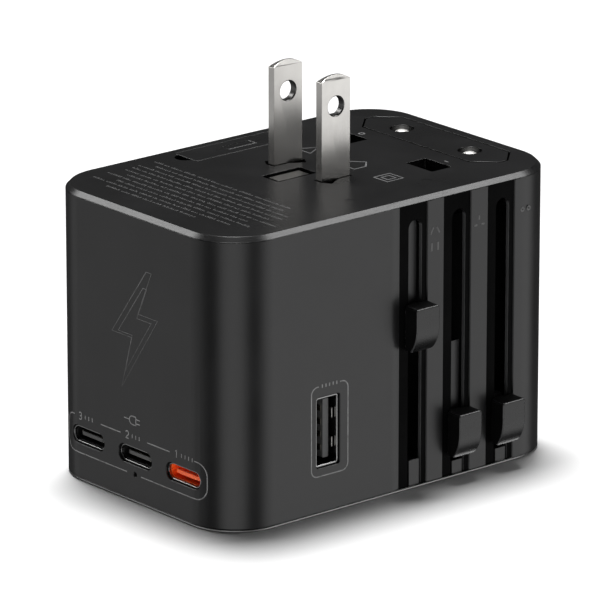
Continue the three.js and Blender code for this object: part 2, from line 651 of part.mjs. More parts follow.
function transformerWinding() {
  const zs = [CORE.window[0] + GAP, CORE.window[1] - GAP];
  const room = block([CORE.leg[0] - GAP, CORE.leg[1] + GAP], [CORE.y[0] - GAP, CORE.y[1] + GAP], CORE.z);
  const centre = [(CORE.leg[0] + CORE.leg[1]) / 2, (CORE.y[0] + CORE.y[1]) / 2];
  const outer = prism(roundedRect(WINDING.wide, WINDING.long, WINDING.radius, centre), zs);
  return outer.subtract(room);
}

function choke() {
  const ring = new THREE.TorusGeometry(CHOKE.ring, CHOKE.wire, 6, 16);
  ring.rotateX(Math.PI / 2);
  ring.translate(...CHOKE.at);
  return solidOf(ring);
}

const adapter = new THREE.Group();

const housing = new THREE.Group();
piece(housing, "outer_sleeve", "blackShell", outerSleeve());
piece(housing, "plug_face_cover", "blackShell", plugFaceCover());
piece(housing, "socket_face_cover", "blackShell", socketFaceCover());
piece(housing, "slider_guide", "darkPlastic", sliderGuide());
piece(housing, "fuse_holder", "darkPlastic", fuseHolder());
piece(housing, "fuse_clip_front", "nickel", fuseClip(-1));
piece(housing, "fuse_clip_rear", "nickel", fuseClip(1));
piece(housing, "working_fuse", "glass", fuse(WORKING_Z));
piece(housing, "spare_fuse", "glass", fuse(SPARE_Z));
piece(housing, "live_bus_bar", "brass", busBar(1));
piece(housing, "neutral_bus_bar", "brass", busBar(-1));
piece(housing, "live_socket_contact", "brass", rowContact(1));
piece(housing, "neutral_socket_contact", "brass", rowContact(-1));
piece(housing, "earth_socket_contact", "brass", earthContact());
piece(housing, "shutter_spring", "nickel", shutterSpring());
adapter.add(housing);

const charger = new THREE.Group();
USB_C_XS.forEach((x, i) => {
  piece(charger, `usb_c_shell_${3 - i}`, "nickel", usbCShell(x));
  piece(charger, `usb_c_tongue_${3 - i}`, i === 2 ? "orangePlastic" : "whitePlastic", usbCTongue(x));
});
piece(charger, "usb_a_shell", "nickel", usbAShell());
piece(charger, "usb_a_tongue", "whitePlastic", usbATongue());
piece(charger, "usb_c_board", "board", boxOf(USB_C_BOARD));
piece(charger, "usb_a_board", "board", boxOf(USB_A_BOARD));
piece(charger, "main_board", "board", boxOf(MAIN_BOARD));
piece(charger, "insulating_sheet", "darkPlastic", boxOf(INSULATING_SHEET));
piece(charger, "transformer_core", "ferrite", transformerCore());
piece(charger, "transformer_winding", "copper", transformerWinding());
piece(charger, "mains_capacitor", "aluminium", canOf(MAINS_CAPACITOR));
piece(charger, "output_capacitor", "aluminium", canOf(OUTPUT_CAPACITOR));
piece(charger, "safety_capacitor", "yellowPlastic", boxOf(SAFETY_CAPACITOR));
piece(charger, "input_choke", "ferrite", choke());
piece(charger, "power_chip", "darkPlastic", boxOf(POWER_CHIP));
piece(
  charger,
  "light_pipe",
  "whitePlastic",
  prism(disc(LIGHT.radius, [LIGHT.z, 0]), [-LENGTH / 2 + LIGHT.setBack, -INSIDE_Y + SET_BACK], ALONG_Y),
);
adapter.add(charger);

const usPlug = new THREE.Group();
piece(usPlug, "us_carrier", "darkPlastic", usCarrier());
piece(usPlug, "us_knob", "blackShell", knob(SLIDERS.us));
piece(usPlug, "us_wiper_left", "nickel", wiper(-1, US_PLATE[1], US_WIPER));
piece(usPlug, "us_wiper_right", "nickel", wiper(1, US_PLATE[1], US_WIPER));
piece(usPlug, "us_blade_left", "nickel", usBlade(-1));
piece(usPlug, "us_blade_right", "nickel", usBlade(1));
adapter.add(usPlug);

const ukPlug = new THREE.Group();
const ukPin = [UK_PLATE[1] + GAP, HEIGHT - UK.below];
const earthPin = [UK_PLATE[1] + GAP, HEIGHT - EARTH.below];
piece(ukPlug, "uk_carrier", "darkPlastic", ukCarrier());
piece(ukPlug, "uk_knob", "blackShell", knob(SLIDERS.uk));
piece(ukPlug, "uk_pin_left", "brass", flatPin(-UK.x, UK.y, UK.wide / 2, UK.thick / 2, ukPin));
piece(ukPlug, "uk_pin_right", "brass", flatPin(UK.x, UK.y, UK.wide / 2, UK.thick / 2, ukPin));
piece(ukPlug, "uk_earth_pin", "brass", flatPin(0, EARTH.y, EARTH.wide / 2, EARTH.long / 2, earthPin));
piece(ukPlug, "uk_wiper_left", "nickel", wiper(-1, UK_PLATE[1], UK_WIPER));
piece(ukPlug, "uk_wiper_right", "nickel", wiper(1, UK_PLATE[1], UK_WIPER));
adapter.add(ukPlug);

const euPlug = new THREE.Group();
piece(euPlug, "eu_carrier", "darkPlastic", euCarrier());
piece(euPlug, "eu_knob", "blackShell", knob(SLIDERS.eu));
piece(euPlug, "eu_pin_left", "nickel", roundPin(-EU.x));
piece(euPlug, "eu_pin_right", "nickel", roundPin(EU.x));
piece(euPlug, "eu_plug_block", "blackShell", euPlugBlock());
adapter.add(euPlug);

piece(adapter, "socket_shutter", "whitePlastic", shutter());
piece(adapter, "fuse_lid", "blackShell", fuseLid());

export default adapter;
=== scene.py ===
import json
import math
import operator
import random

import bmesh
import bpy
from mathutils import Matrix, Vector


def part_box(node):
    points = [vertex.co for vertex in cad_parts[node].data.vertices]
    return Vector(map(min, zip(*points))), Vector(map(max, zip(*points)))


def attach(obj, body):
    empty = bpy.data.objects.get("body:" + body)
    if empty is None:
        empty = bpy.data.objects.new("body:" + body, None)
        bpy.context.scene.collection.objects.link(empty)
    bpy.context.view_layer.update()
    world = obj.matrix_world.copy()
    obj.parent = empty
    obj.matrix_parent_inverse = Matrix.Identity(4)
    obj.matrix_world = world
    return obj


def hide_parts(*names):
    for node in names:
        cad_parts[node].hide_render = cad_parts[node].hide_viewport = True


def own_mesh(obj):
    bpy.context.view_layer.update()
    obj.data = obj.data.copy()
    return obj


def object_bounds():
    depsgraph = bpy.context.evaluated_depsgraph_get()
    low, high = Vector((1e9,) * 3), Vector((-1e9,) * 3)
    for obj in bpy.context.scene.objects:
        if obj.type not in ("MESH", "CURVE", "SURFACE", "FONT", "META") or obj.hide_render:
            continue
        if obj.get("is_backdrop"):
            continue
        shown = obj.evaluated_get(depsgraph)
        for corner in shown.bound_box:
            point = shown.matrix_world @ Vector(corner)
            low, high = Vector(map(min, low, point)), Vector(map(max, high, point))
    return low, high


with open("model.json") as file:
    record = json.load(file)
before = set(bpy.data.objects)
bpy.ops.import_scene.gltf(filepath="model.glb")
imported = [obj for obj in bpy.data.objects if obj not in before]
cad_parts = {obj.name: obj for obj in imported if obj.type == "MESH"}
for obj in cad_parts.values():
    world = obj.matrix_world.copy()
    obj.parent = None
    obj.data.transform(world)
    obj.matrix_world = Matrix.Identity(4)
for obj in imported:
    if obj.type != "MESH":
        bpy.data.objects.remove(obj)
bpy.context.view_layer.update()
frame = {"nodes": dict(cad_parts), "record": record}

# The adapter stands on a white table and is seen along its near corner, from a little above.
# A long lens far away keeps its edges almost parallel.
MM = 0.001
CAMERA_AZIMUTH = math.radians(49.912)
CAMERA_HEIGHT = math.radians(17.757)
CAMERA_PLACE = Vector((795.4, -670.5, 361.8)) * MM
LENS = 378.7
SENSOR = 36
back = Vector(
    (
        math.sin(CAMERA_AZIMUTH) * math.cos(CAMERA_HEIGHT),
        -math.cos(CAMERA_AZIMUTH) * math.cos(CAMERA_HEIGHT),
        math.sin(CAMERA_HEIGHT),
    )
)
right = Vector((math.cos(CAMERA_AZIMUTH), math.sin(CAMERA_AZIMUTH), 0))
camera_data = bpy.data.cameras.new("camera")
camera_data.lens = LENS
camera_data.sensor_width = SENSOR
camera_data.clip_end = 20
camera = bpy.data.objects.new("camera", camera_data)
camera.matrix_world = (
    Matrix.Translation(CAMERA_PLACE) @ Matrix((right, back.cross(right), back)).transposed().to_4x4()
)
scene = bpy.context.scene
scene.collection.objects.link(camera)
scene.camera = camera
scene.view_settings.view_transform = "Standard"


# The studio: a white table that runs out of sight, a dim surround, and large soft panels that draw a
# bright line along each chamfer. One lamp hangs behind and above, so that the shadow falls forwards.
AIM = Vector((0, 0, 30)) * MM


class Wire:
    """An output of a shader's nodes, so that shader maths reads as ordinary expressions."""

    def __init__(self, finish, socket):
        self.finish = finish
        self.socket = socket

    def __add__(self, other):
        return self.finish.maths("ADD", self, other)

    def __sub__(self, other):
        return self.finish.maths("SUBTRACT", self, other)

    def __rsub__(self, other):
        return self.finish.maths("SUBTRACT", other, self)

    def __mul__(self, other):
        return self.finish.maths("MULTIPLY", self, other)

    __radd__ = __add__
    __rmul__ = __mul__


class Nodes:
    """A node tree that is written with one method for every kind of node."""

    def __init__(self, tree):
        self.tree = tree

    def node(self, kind, settings=None, values=None, output=0):
        node = self.tree.nodes.new("ShaderNode" + kind)
        for name, setting in (settings or {}).items():
            setattr(node, name, setting)
        for name, value in (values or {}).items():
            self.join(value, node.inputs[name])
        return Wire(self, node.outputs[output])

    def join(self, value, socket):
        if isinstance(value, Wire):
            self.tree.links.new(value.socket, socket)
        else:
            socket.default_value = value

    def maths(self, operation, first, second):
        return self.node("Math", {"operation": operation}, {0: first, 1: second})


def toward(azimuth, height):
    """A direction from its compass angle, anticlockwise from +X, and its angle above the table."""
    turn, lift = math.radians(azimuth), math.radians(height)
    return Vector((math.cos(turn) * math.cos(lift), math.sin(turn) * math.cos(lift), math.sin(lift)))


# Each panel: its compass angle and height, its inner and outer half-width in degrees, and its strength.
PANELS = [
    (43, -18, 14, 36, 1.15),
    (-45, -18, 13, 33, 1.25),
    (-136, -18, 18, 38, 0.45),
    (63.6, 46.8, 6, 13, 9),
    (46, 32, 6, 13, 1.4),
    (-157.3, 37.8, 6, 13, 8),
    (116.5, -50, 5, 11, 2.6),
    (160, -46, 6, 12, 1.5),
    (150, -71, 6, 12, 2.4),
]
DIM = 0.06  # the surround as gloss mirrors it
FILL = 0.03  # the surround as it lights matt surfaces
SPILL = 0.2  # the share of a raised panel's light that its screens let fall on matt surfaces
BACKDROP = 1.2
scene.world = bpy.data.worlds.new("studio")
scene.world.use_nodes = True
surround = Nodes(scene.world.node_tree)
facing = surround.node("TexCoord")
mirrored = DIM
scattered = FILL
for azimuth, height, inner, outer, strength in PANELS:
    ends = {0: facing, 1: toward(azimuth, height)}
    nearness = surround.node("VectorMath", {"operation": "DOT_PRODUCT"}, ends, "Value")
    limits = {"From Min": math.cos(math.radians(outer)), "From Max": math.cos(math.radians(inner))}
    limits |= {"Value": nearness, "To Max": strength}
    panel = surround.node("MapRange", {"interpolation_type": "SMOOTHSTEP"}, limits)
    mirrored = panel + mirrored
    scattered = (SPILL if height > 0 else 1) * panel + scattered
seen = surround.node("LightPath")
glossy = surround.node("LightPath", output="Is Glossy Ray")
background = scene.world.node_tree.nodes["Background"]
surround.join((1, 1, 1, 1), background.inputs["Color"])
light = mirrored * glossy + scattered * (1 - glossy)
surround.join((1 - seen) * light + BACKDROP * seen, background.inputs["Strength"])

TABLE_HALF = 4
TABLE_DROP = 0.02
table_mesh = bmesh.new()
bmesh.ops.create_grid(table_mesh, x_segments=1, y_segments=1, size=TABLE_HALF)
bmesh.ops.translate(table_mesh, vec=(0, 0, -TABLE_DROP * MM), verts=table_mesh.verts)
table_data = bpy.data.meshes.new("table_top")
table_mesh.to_mesh(table_data)
table_top = bpy.data.objects.new("table_top", table_data)
scene.collection.objects.link(table_top)
table_paint = bpy.data.materials.new("white_table")
table_paint.use_nodes = True
table_shader = table_paint.node_tree.nodes["Principled BSDF"]
table_shader.inputs["Base Color"].default_value = (0.85, 0.85, 0.85, 1)
table_shader.inputs["Roughness"].default_value = 0.8
table_shader.inputs["Specular IOR Level"].default_value = 0.1
table_data.materials.append(table_paint)
table_top.visible_glossy = False
table_top.visible_shadow = False
table_top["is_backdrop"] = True


def softbox(name, direction, distance, size, power):
    """A square lamp that looks at the adapter."""
    lamp_data = bpy.data.lights.new(name, "AREA")
    lamp_data.shape = "SQUARE"
    lamp_data.size = size
    lamp_data.energy = power
    lamp = bpy.data.objects.new(name, lamp_data)
    turn = direction.to_track_quat("Z", "Y").to_matrix().to_4x4()
    lamp.matrix_world = Matrix.Translation(AIM + direction * distance) @ turn
    scene.collection.objects.link(lamp)


softbox("lamp_overhead", toward(152, 79), distance=1.8, size=0.5, power=46)


# The outer sleeve is one injection-moulded tube of satin black polycarbonate with rounded corners.
# It is open at both ends, has three shallow slider channels with a slot in each, and mouths for the ports.
CORNER = 10
WALL = 1.8
CHANNEL_WIDE = 6.15
CHANNEL_DEEP = 0.25
PANEL = 0.8
SLOT_WIDE = 2.95
SLOT_TOP = 48.2
SLOPE_FROM = -1.8
RUN_IN_STEPS = 8
BEHIND_SLOT = 3
TOP_RIM = 0.85
BASE_RIM = 0.55
MOUTH_CLEARANCE = 0.13
X, Y, Z = 0, 1, 2
MIX_FIRST, MIX_SECOND, MIX_COLOUR = 6, 7, 2  # a Mix node's colour sockets
SHARP = math.radians(32)  # edges that turn further than this stay crisp


class Finish(Nodes):
    """A procedural material on a Principled shader, named for the real finish or for the painted light or
    shade that it carries.
    """

    def __init__(self, name, **constants):
        self.data = bpy.data.materials.new(name)
        self.data.use_nodes = True
        super().__init__(self.data.node_tree)
        self.shader = self.tree.nodes["Principled BSDF"]
        self.place = self.node("TexCoord", output="Object")
        for name, value in constants.items():
            self.shader.inputs[name.replace("_", " ")].default_value = value

    def noise(self, scale, detail=3, stretch=(1, 1, 1)):
        place = self.node("Mapping", {}, {"Vector": self.place, "Scale": stretch})
        return self.node("TexNoise", {}, {"Vector": place, "Scale": scale, "Detail": detail})

    def between(self, mask, first, second):
        """A colour that runs from the first to the second as a mask goes from 0 to 1."""
        ends = {0: mask, MIX_FIRST: (*first, 1), MIX_SECOND: (*second, 1)}
        return self.node("Mix", {"data_type": "RGBA"}, ends, MIX_COLOUR)

    def window(self, value, low, high):
        """A mask that runs from 0 to 1 as a value goes from low to high."""
        values = {"Value": value, "From Min": low, "From Max": high}
        return self.node("MapRange", {"clamp": True}, values)

    def paint(self, **links):
        for name, value in links.items():
            self.join(value, self.shader.inputs[name.replace("_", " ")])

    def bumped(self, height, depth, strength=1.0):
        values = {"Height": height, "Distance": depth * MM, "Strength": strength}
        self.paint(Normal=self.node("Bump", {}, values))
        return self


def moulded(name, colour, roughness, grain=0.012, specular=0.5):
    """Moulded plastic: a fine eroded grain, handling smudges and faint rub marks."""
    finish = Finish(name, Specular_IOR_Level=specular)
    smudge = finish.noise(scale=90, detail=4)
    grit = finish.noise(scale=5200, detail=2)
    rubs = finish.window(finish.noise(scale=260, detail=5, stretch=(1, 1, 9)), low=0.56, high=0.74)
    paler = tuple(channel * 1.35 + 0.002 for channel in colour)
    finish.paint(
        Base_Color=finish.between(finish.window(smudge, low=0.35, high=0.7), colour, paler),
        Roughness=roughness - 0.03 + 0.07 * smudge + 0.03 * rubs,
    )
    return finish.bumped(grit, grain)


SHELL_BLACK = (0.0065, 0.0065, 0.0068)
shell_black = moulded("satin_black_shell", SHELL_BLACK, 0.31)
# The slot walls that face -Y get a grey much lighter than the sleeve's black: painted light for the lit strip
# along each slot.
slot_wall_light_paint = moulded("slot_wall_painted_light", (0.045, 0.045, 0.046), 0.35)
channel_black = moulded("matt_black_channel", (0.001, 0.001, 0.0011), 0.6, grain=0.02, specular=0.04)


def slab(low, high):
    """A box between two corners, in millimetres."""
    low, high = Vector(low), Vector(high)
    mesh = bmesh.new()
    bmesh.ops.create_cube(mesh, size=1)
    bmesh.ops.scale(mesh, vec=high - low, verts=mesh.verts)
    bmesh.ops.translate(mesh, vec=(low + high) / 2, verts=mesh.verts)
    return mesh


def prism(points, z0, z1):
    """A flat outline pushed up from z0 to z1."""
    mesh = bmesh.new()
    outline = mesh.faces.new([mesh.verts.new((x, y, z0)) for x, y in points])
    pushed = bmesh.ops.extrude_face_region(mesh, geom=[outline])
    moved = [v for v in pushed["geom"] if isinstance(v, bmesh.types.BMVert)]
    bmesh.ops.translate(mesh, vec=(0, 0, z1 - z0), verts=moved)
    bmesh.ops.recalc_face_normals(mesh, faces=mesh.faces)
    return mesh


def drum(radius, start, end, sides=48, tip=None):
    """A round bar between two points, which may taper to a tip."""
    start, end = Vector(start), Vector(end)
    mesh = bmesh.new()
    far = radius if tip is None else tip
    length = (end - start).length
    bmesh.ops.create_cone(mesh, cap_ends=True, segments=sides, radius1=radius, radius2=far, depth=length)
    turn = (end - start).to_track_quat("Z", "Y").to_matrix().to_4x4()
    bmesh.ops.transform(mesh, matrix=Matrix.Translation((start + end) / 2) @ turn, verts=mesh.verts)
    return mesh


def bevelled(mesh, edges, offset, segments=2, profile=0.5):
    bmesh.ops.bevel(
        mesh,
        geom=edges,
        offset=offset,
        offset_type="OFFSET",
        segments=segments,
        profile=profile,
        affect="EDGES",
        material=-1,
        clamp_overlap=True,
    )
    return mesh


def along(mesh, axis, keep=lambda middle: True):
    """The straight edges that run along an axis, and whose middle passes a test."""
    found = []
    for edge in mesh.edges:
        first, second = (v.co for v in edge.verts)
        if abs((second - first).normalized()[axis]) > 0.999 and keep((first + second) / 2):
            found.append(edge)
    return found


def bar(low, high, axis, radius, segments=8):
    """A box with the four edges along one axis rounded."""
    mesh = slab(low, high)
    return bevelled(mesh, along(mesh, axis), radius, segments)


def arc(u, v, radius, start, end, steps=6):
    """Points on an arc, in degrees."""
    turns = [math.radians(start + (end - start) * i / steps) for i in range(steps + 1)]
    return [(u + radius * math.cos(t), v + radius * math.sin(t)) for t in turns]


def combined(mesh, tools, operation):
    """The solid with others cut from it or joined to it."""
    solids = []
    for source in (mesh, *tools):
        data = bpy.data.meshes.new("tool")
        source.to_mesh(data)
        source.free()
        solids.append(bpy.data.objects.new("tool", data))
        scene.collection.objects.link(solids[-1])
    for tool in solids[1:]:
        modifier = solids[0].modifiers.new("combine", "BOOLEAN")
        modifier.operation = operation
        modifier.solver = "EXACT"
        modifier.object = tool
    bpy.context.view_layer.update()
    result = bmesh.new()
    result.from_object(solids[0], bpy.context.evaluated_depsgraph_get())
    for solid in solids:
        data = solid.data
        bpy.data.objects.remove(solid)
        bpy.data.meshes.remove(data)
    bmesh.ops.remove_doubles(result, verts=result.verts, dist=0.001)
    bmesh.ops.dissolve_limit(
        result,
        angle_limit=math.radians(0.5),
        verts=result.verts,
        edges=result.edges,
        delimit={"MATERIAL"},
    )
    return result


def cut(mesh, tools):
    return combined(mesh, tools, "DIFFERENCE")


def joined(mesh, tools):
    return combined(mesh, tools, "UNION")


def place(name, mesh, body, slot, finishes, nodes=(), soften=0.1):
    """Turns a finished mesh into a piece that rides on a body in place of its CAD nodes."""
    bmesh.ops.scale(mesh, vec=(MM, MM, MM), verts=mesh.verts)
    data = bpy.data.meshes.new(name)
    mesh.to_mesh(data)
    mesh.free()
    data.shade_smooth()
    data.set_sharp_from_angle(angle=SHARP)
    piece = bpy.data.objects.new(name, data)
    scene.collection.objects.link(piece)
    for finish in finishes:
        data.materials.append(finish.data)
    if soften:
        edge = piece.modifiers.new("soft_edges", "BEVEL")
        edge.width = soften * MM
        edge.segments = 2
        edge.limit_method = "ANGLE"
        edge.angle_limit = SHARP
        edge.use_clamp_overlap = False
    level = piece.modifiers.new("level_faces", "WEIGHTED_NORMAL")
    level.keep_sharp = True
    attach(piece, body)
    if nodes:
        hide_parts(*nodes)
    return piece


def corners(node):
    """A CAD node's lowest and highest corners, in millimetres."""
    low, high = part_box(node)
    return low / MM, high / MM


def middle(node):
    low, high = corners(node)
    return (low + high) / 2


def tube_block(low, high, inset):
    """The housing's rounded outline drawn in by an inset, between two heights."""
    grow = Vector((inset, inset, 0))
    return bar(low + grow, high - grow, Z, CORNER - inset, 14)


SLEEVE_LOW, SLEEVE_HIGH = corners("outer_sleeve")
SIDE = SLEEVE_HIGH.x
FRONT = SLEEVE_LOW.y
CLEAR = 1  # how far a cutting tool runs past what it cuts
TOP = corners("plug_face_cover")[1].z
SLEEVE_LOW.z = BASE_RIM  # the sleeve runs on until it meets the chamfer of each cover
SLEEVE_HIGH.z = TOP - TOP_RIM
SLOT_ASIDE = 0.5
SLIDER_Y = {name: middle(name + "_knob").y for name in ("us", "uk", "eu")}


def mouth(node, axis, radius, grow=MOUTH_CLEARANCE):
    """The opening that a port's shell stands in."""
    low, high = corners(node)
    margin = Vector((grow, grow, grow))
    margin[axis] = 2 * CLEAR
    return bar(low - margin, high + margin, axis, radius, 8)


past_ends = Vector((0, 0, CLEAR))
sleeve_cuts = [tube_block(SLEEVE_LOW - past_ends, SLEEVE_HIGH + past_ends, WALL)]
floor_x = SIDE - CHANNEL_DEEP
for name, y in SLIDER_Y.items():
    y0, y1 = y - SLOT_ASIDE - CHANNEL_WIDE / 2, y - SLOT_ASIDE + CHANNEL_WIDE / 2
    run_in = [(SIDE + CLEAR, y0), (floor_x, y0)]
    if name == "us":
        steps = [i / RUN_IN_STEPS for i in range(RUN_IN_STEPS + 1)]
        curve = [(SIDE - CHANNEL_DEEP * t * t, SLOPE_FROM + (y0 - SLOPE_FROM) * t) for t in steps]
        run_in = [(SIDE + CLEAR, SLOPE_FROM)] + curve
    channel = prism(run_in + [(floor_x, y1), (SIDE + CLEAR, y1)], 0, TOP)
    slot = slab((SIDE - BEHIND_SLOT, y - SLOT_WIDE / 2, 0), (SIDE + CLEAR, y + SLOT_WIDE / 2, SLOT_TOP))
    slot_ends = along(slot, X, lambda middle: middle.z > SLOT_TOP / 2)
    bevelled(slot, slot_ends, SLOT_WIDE / 2 - 0.01, segments=8)
    pocket = slab((SIDE - BEHIND_SLOT, y0, 0), (floor_x - PANEL, y1, TOP))
    sleeve_cuts += [channel, slot, pocket]
sleeve_cuts += [mouth(f"usb_c_shell_{i}", Y, radius=1.55) for i in (1, 2, 3)]
sleeve_cuts += [mouth("usb_a_shell", X, radius=0.6)]
LIGHT = middle("light_pipe")
PINHOLE = 0.42
hole_ends = ((LIGHT.x, FRONT - CLEAR, LIGHT.z), (LIGHT.x, FRONT + 3, LIGHT.z))
sleeve_cuts += [drum(PINHOLE, *hole_ends, sides=24)]
sleeve = cut(tube_block(SLEEVE_LOW, SLEEVE_HIGH, 0), sleeve_cuts)
for face in sleeve.faces:
    spot = face.calc_center_median()
    if face.normal.x > 0.999 and abs(spot.x - floor_x) < 0.02:
        face.material_index = 1
    # slot walls facing -Y take the lighter grey, which is painted light
    if face.normal.y < -0.9 and floor_x - PANEL < spot.x < floor_x and spot.y > 0:
        face.material_index = 2
sleeve_finishes = [shell_black, channel_black, slot_wall_light_paint]
place("outer_sleeve_shell", sleeve, "housing", "black_shell", sleeve_finishes, ["outer_sleeve"])


# The two end covers are moulded plates with a chamfered rim, welded into the ends of the sleeve by a
# skirt. The plug-face cover has an opening for every plug, and the two blade openings flare so that the
# blades can turn.
CHAMFER = 0.8
BASE_CHAMFER = 0.42
RIM_ROUND = 0.12
FACE = 1.8
SKIRT = 1.2
GAP = 0.3
BLADE_THICK = 1.5
BLADE_WIDE = 6.35
BLADE_TURN = math.radians(30)
EU_POINT = 3.6
EU_BLUNT = 0.9
GATE_DEEP = 6
DIMPLES = ((18.7, -5.6), (18, 12.2))
DIMPLE_DEEP = 0.14


def cover(z_face, z_rim, z_skirt, chamfer):
    """A chamfered plate over the whole outline with its skirt; the face may look up or down."""
    low, high = corners("plug_face_cover")
    ends = sorted((z_face, z_rim))
    plate = bar((low.x, low.y, ends[0]), (high.x, high.y, ends[1]), Z, CORNER, 14)
    rim = [edge for edge in plate.edges if all(abs(v.co.z - z_face) < 0.01 for v in edge.verts)]
    bevelled(plate, rim, chamfer, segments=1)
    near, far = sorted((z_face, z_face + math.copysign(chamfer, z_rim - z_face)))
    flat = [e for e in plate.edges if len({round(v.co.z, 3) for v in e.verts}) == 1]
    flat = [e for e in flat if round(e.verts[0].co.z, 3) in (round(near, 3), round(far, 3))]
    bevelled(plate, flat, RIM_ROUND, segments=3)
    inward = 1 if z_face < z_rim else -1
    spans = [sorted((z_rim - inward * 0.2, z_skirt)), sorted((z_face + inward * FACE, z_skirt + inward))]
    tubes = []
    for (z0, z1), inset in zip(spans, (WALL + GAP, WALL + GAP + SKIRT)):
        tubes.append(tube_block(Vector((low.x, low.y, z0)), Vector((high.x, high.y, z1)), inset))
    first = SLIDER_Y["us"] - SLOT_ASIDE - CHANNEL_WIDE / 2 - GAP
    last = SLIDER_Y["eu"] - SLOT_ASIDE + CHANNEL_WIDE / 2 + GAP
    gate_ends = sorted((z_face + inward * FACE, z_skirt + inward))
    gate = slab((SIDE - GATE_DEEP, first, gate_ends[0]), (SIDE + CLEAR, last, gate_ends[1]))
    return joined(plate, [cut(tubes[0], [tubes[1], gate])])


def flare(side, z0, z1):
    """The hourglass opening of a blade, from its upright place to its turned one."""
    foot = middle("us_blade_right") if side > 0 else middle("us_blade_left")
    half_x, half_y = BLADE_THICK / 2 + GAP, BLADE_WIDE / 2 + GAP
    solids = []
    for end in (-1, 1):
        hull = bmesh.new()
        for turn in (0, side * BLADE_TURN):
            spin = Matrix.Rotation(turn, 3, "Z")
            for x in (-half_x, half_x):
                for y in (0, end * half_y):
                    for z in (z0, z1):
                        hull.verts.new(spin @ Vector((x, y, 0)) + Vector((foot.x, foot.y, z)))
        made = bmesh.ops.convex_hull(hull, input=hull.verts)
        spare = [v for v in made["geom_interior"] if isinstance(v, bmesh.types.BMVert)]
        bmesh.ops.delete(hull, geom=spare, context="VERTS")
        bmesh.ops.recalc_face_normals(hull, faces=hull.faces)
        solids.append(hull)
    return solids


def eu_outline(grow):
    """The long hexagon of the EU block, with its two points cut blunt."""
    low, high = corners("eu_plug_block")
    centre, half = (low + high) / 2, (high - low) / 2
    slope = half.x - EU_POINT + grow * 0.6
    blunt = EU_BLUNT + grow * 0.4
    half += Vector((grow, grow, 0))
    quarter = [(half.x, blunt), (slope, half.y)]
    ring = quarter + [(-x, y) for x, y in reversed(quarter)]
    ring += [(-x, -y) for x, y in ring]
    return [(centre.x + x, centre.y + y) for x, y in ring]


def window(node, z0, z1, grow=GAP, radius=0.35):
    """A rectangular opening round a pin."""
    low, high = corners(node)
    return bar((low.x - grow, low.y - grow, z0), (high.x + grow, high.y + grow, z1), Z, radius, 4)


LID_LOW, LID_HIGH = corners("fuse_lid")
LID_X = (LID_LOW.x + LID_HIGH.x) / 2
NOTCH_RADIUS = 1.9
through = (TOP - 5, TOP + CLEAR)
notch = ((LID_X, LID_LOW.y - GAP, TOP - 1), (LID_X, LID_LOW.y - GAP, TOP + CLEAR))
plug_cuts = [*flare(-1, *through), *flare(1, *through)]
plug_cuts += [window(node, *through) for node in ("uk_pin_left", "uk_pin_right", "uk_earth_pin")]
plug_cuts += [prism(eu_outline(GAP), *through), window("fuse_lid", *through, radius=0.3)]
plug_cuts += [drum(NOTCH_RADIUS, *notch)]
for x, y in DIMPLES:
    ends = ((x, y, TOP - DIMPLE_DEEP), (x, y, TOP + DIMPLE_DEEP))
    plug_cuts.append(drum(0.9, *ends, sides=32, tip=1.5))
plug_face = cut(cover(TOP, TOP - TOP_RIM, corners("plug_face_cover")[0].z, CHAMFER), plug_cuts)
# The top cover, the fuse lid and the EU block get a darker copy of the sleeve's black, which keeps the top
# from looking brighter under the overhead lamp: painted shade.
top_cover_shade_black = moulded("satin_black_cover_painted_shade", (0.0035, 0.0035, 0.0037), 0.28)
place("plug_face_plate", plug_face, "housing", "black_shell", [top_cover_shade_black], ["plug_face_cover"], soften=0.04)


# The fuse lid is a small snap-in plate beside the plugs, flush with the face, with a nail notch at one end.
# The sign for a fuse is raised on it in the same black plastic.
def printed(paths, wide, high, basis, origin, closed=False):
    """Lines laid on a face: each path is swept with a flat oval section, then stood on the face."""
    curve = bpy.data.curves.new("line", "CURVE")
    curve.dimensions = "3D"
    curve.bevel_depth = wide / 2
    curve.bevel_resolution = 1
    curve.use_fill_caps = True
    for path in paths:
        spline = curve.splines.new("POLY")
        spline.points.add(len(path) - 1)
        for point, (u, v) in zip(spline.points, path):
            point.co = (u, v, 0, 1)
        spline.use_cyclic_u = closed
    sketch = bpy.data.objects.new("line", curve)
    scene.collection.objects.link(sketch)
    bpy.context.view_layer.update()
    flat = bpy.data.meshes.new_from_object(sketch.evaluated_get(bpy.context.evaluated_depsgraph_get()))
    bpy.data.objects.remove(sketch)
    bpy.data.curves.remove(curve)
    mesh = bmesh.new()
    mesh.from_mesh(flat)
    bpy.data.meshes.remove(flat)
    bmesh.ops.scale(mesh, vec=(1, 1, 2 * high / wide), verts=mesh.verts)
    turn = Matrix([Vector(column) for column in basis]).transposed().to_4x4()
    bmesh.ops.transform(mesh, matrix=Matrix.Translation(Vector(origin)) @ turn, verts=mesh.verts)
    return mesh


def merged(meshes):
    """Several loose meshes as one."""
    whole = bmesh.new()
    for mesh in meshes:
        data = bpy.data.meshes.new("part")
        mesh.to_mesh(data)
        mesh.free()
        whole.from_mesh(data)
        bpy.data.meshes.remove(data)
    return whole


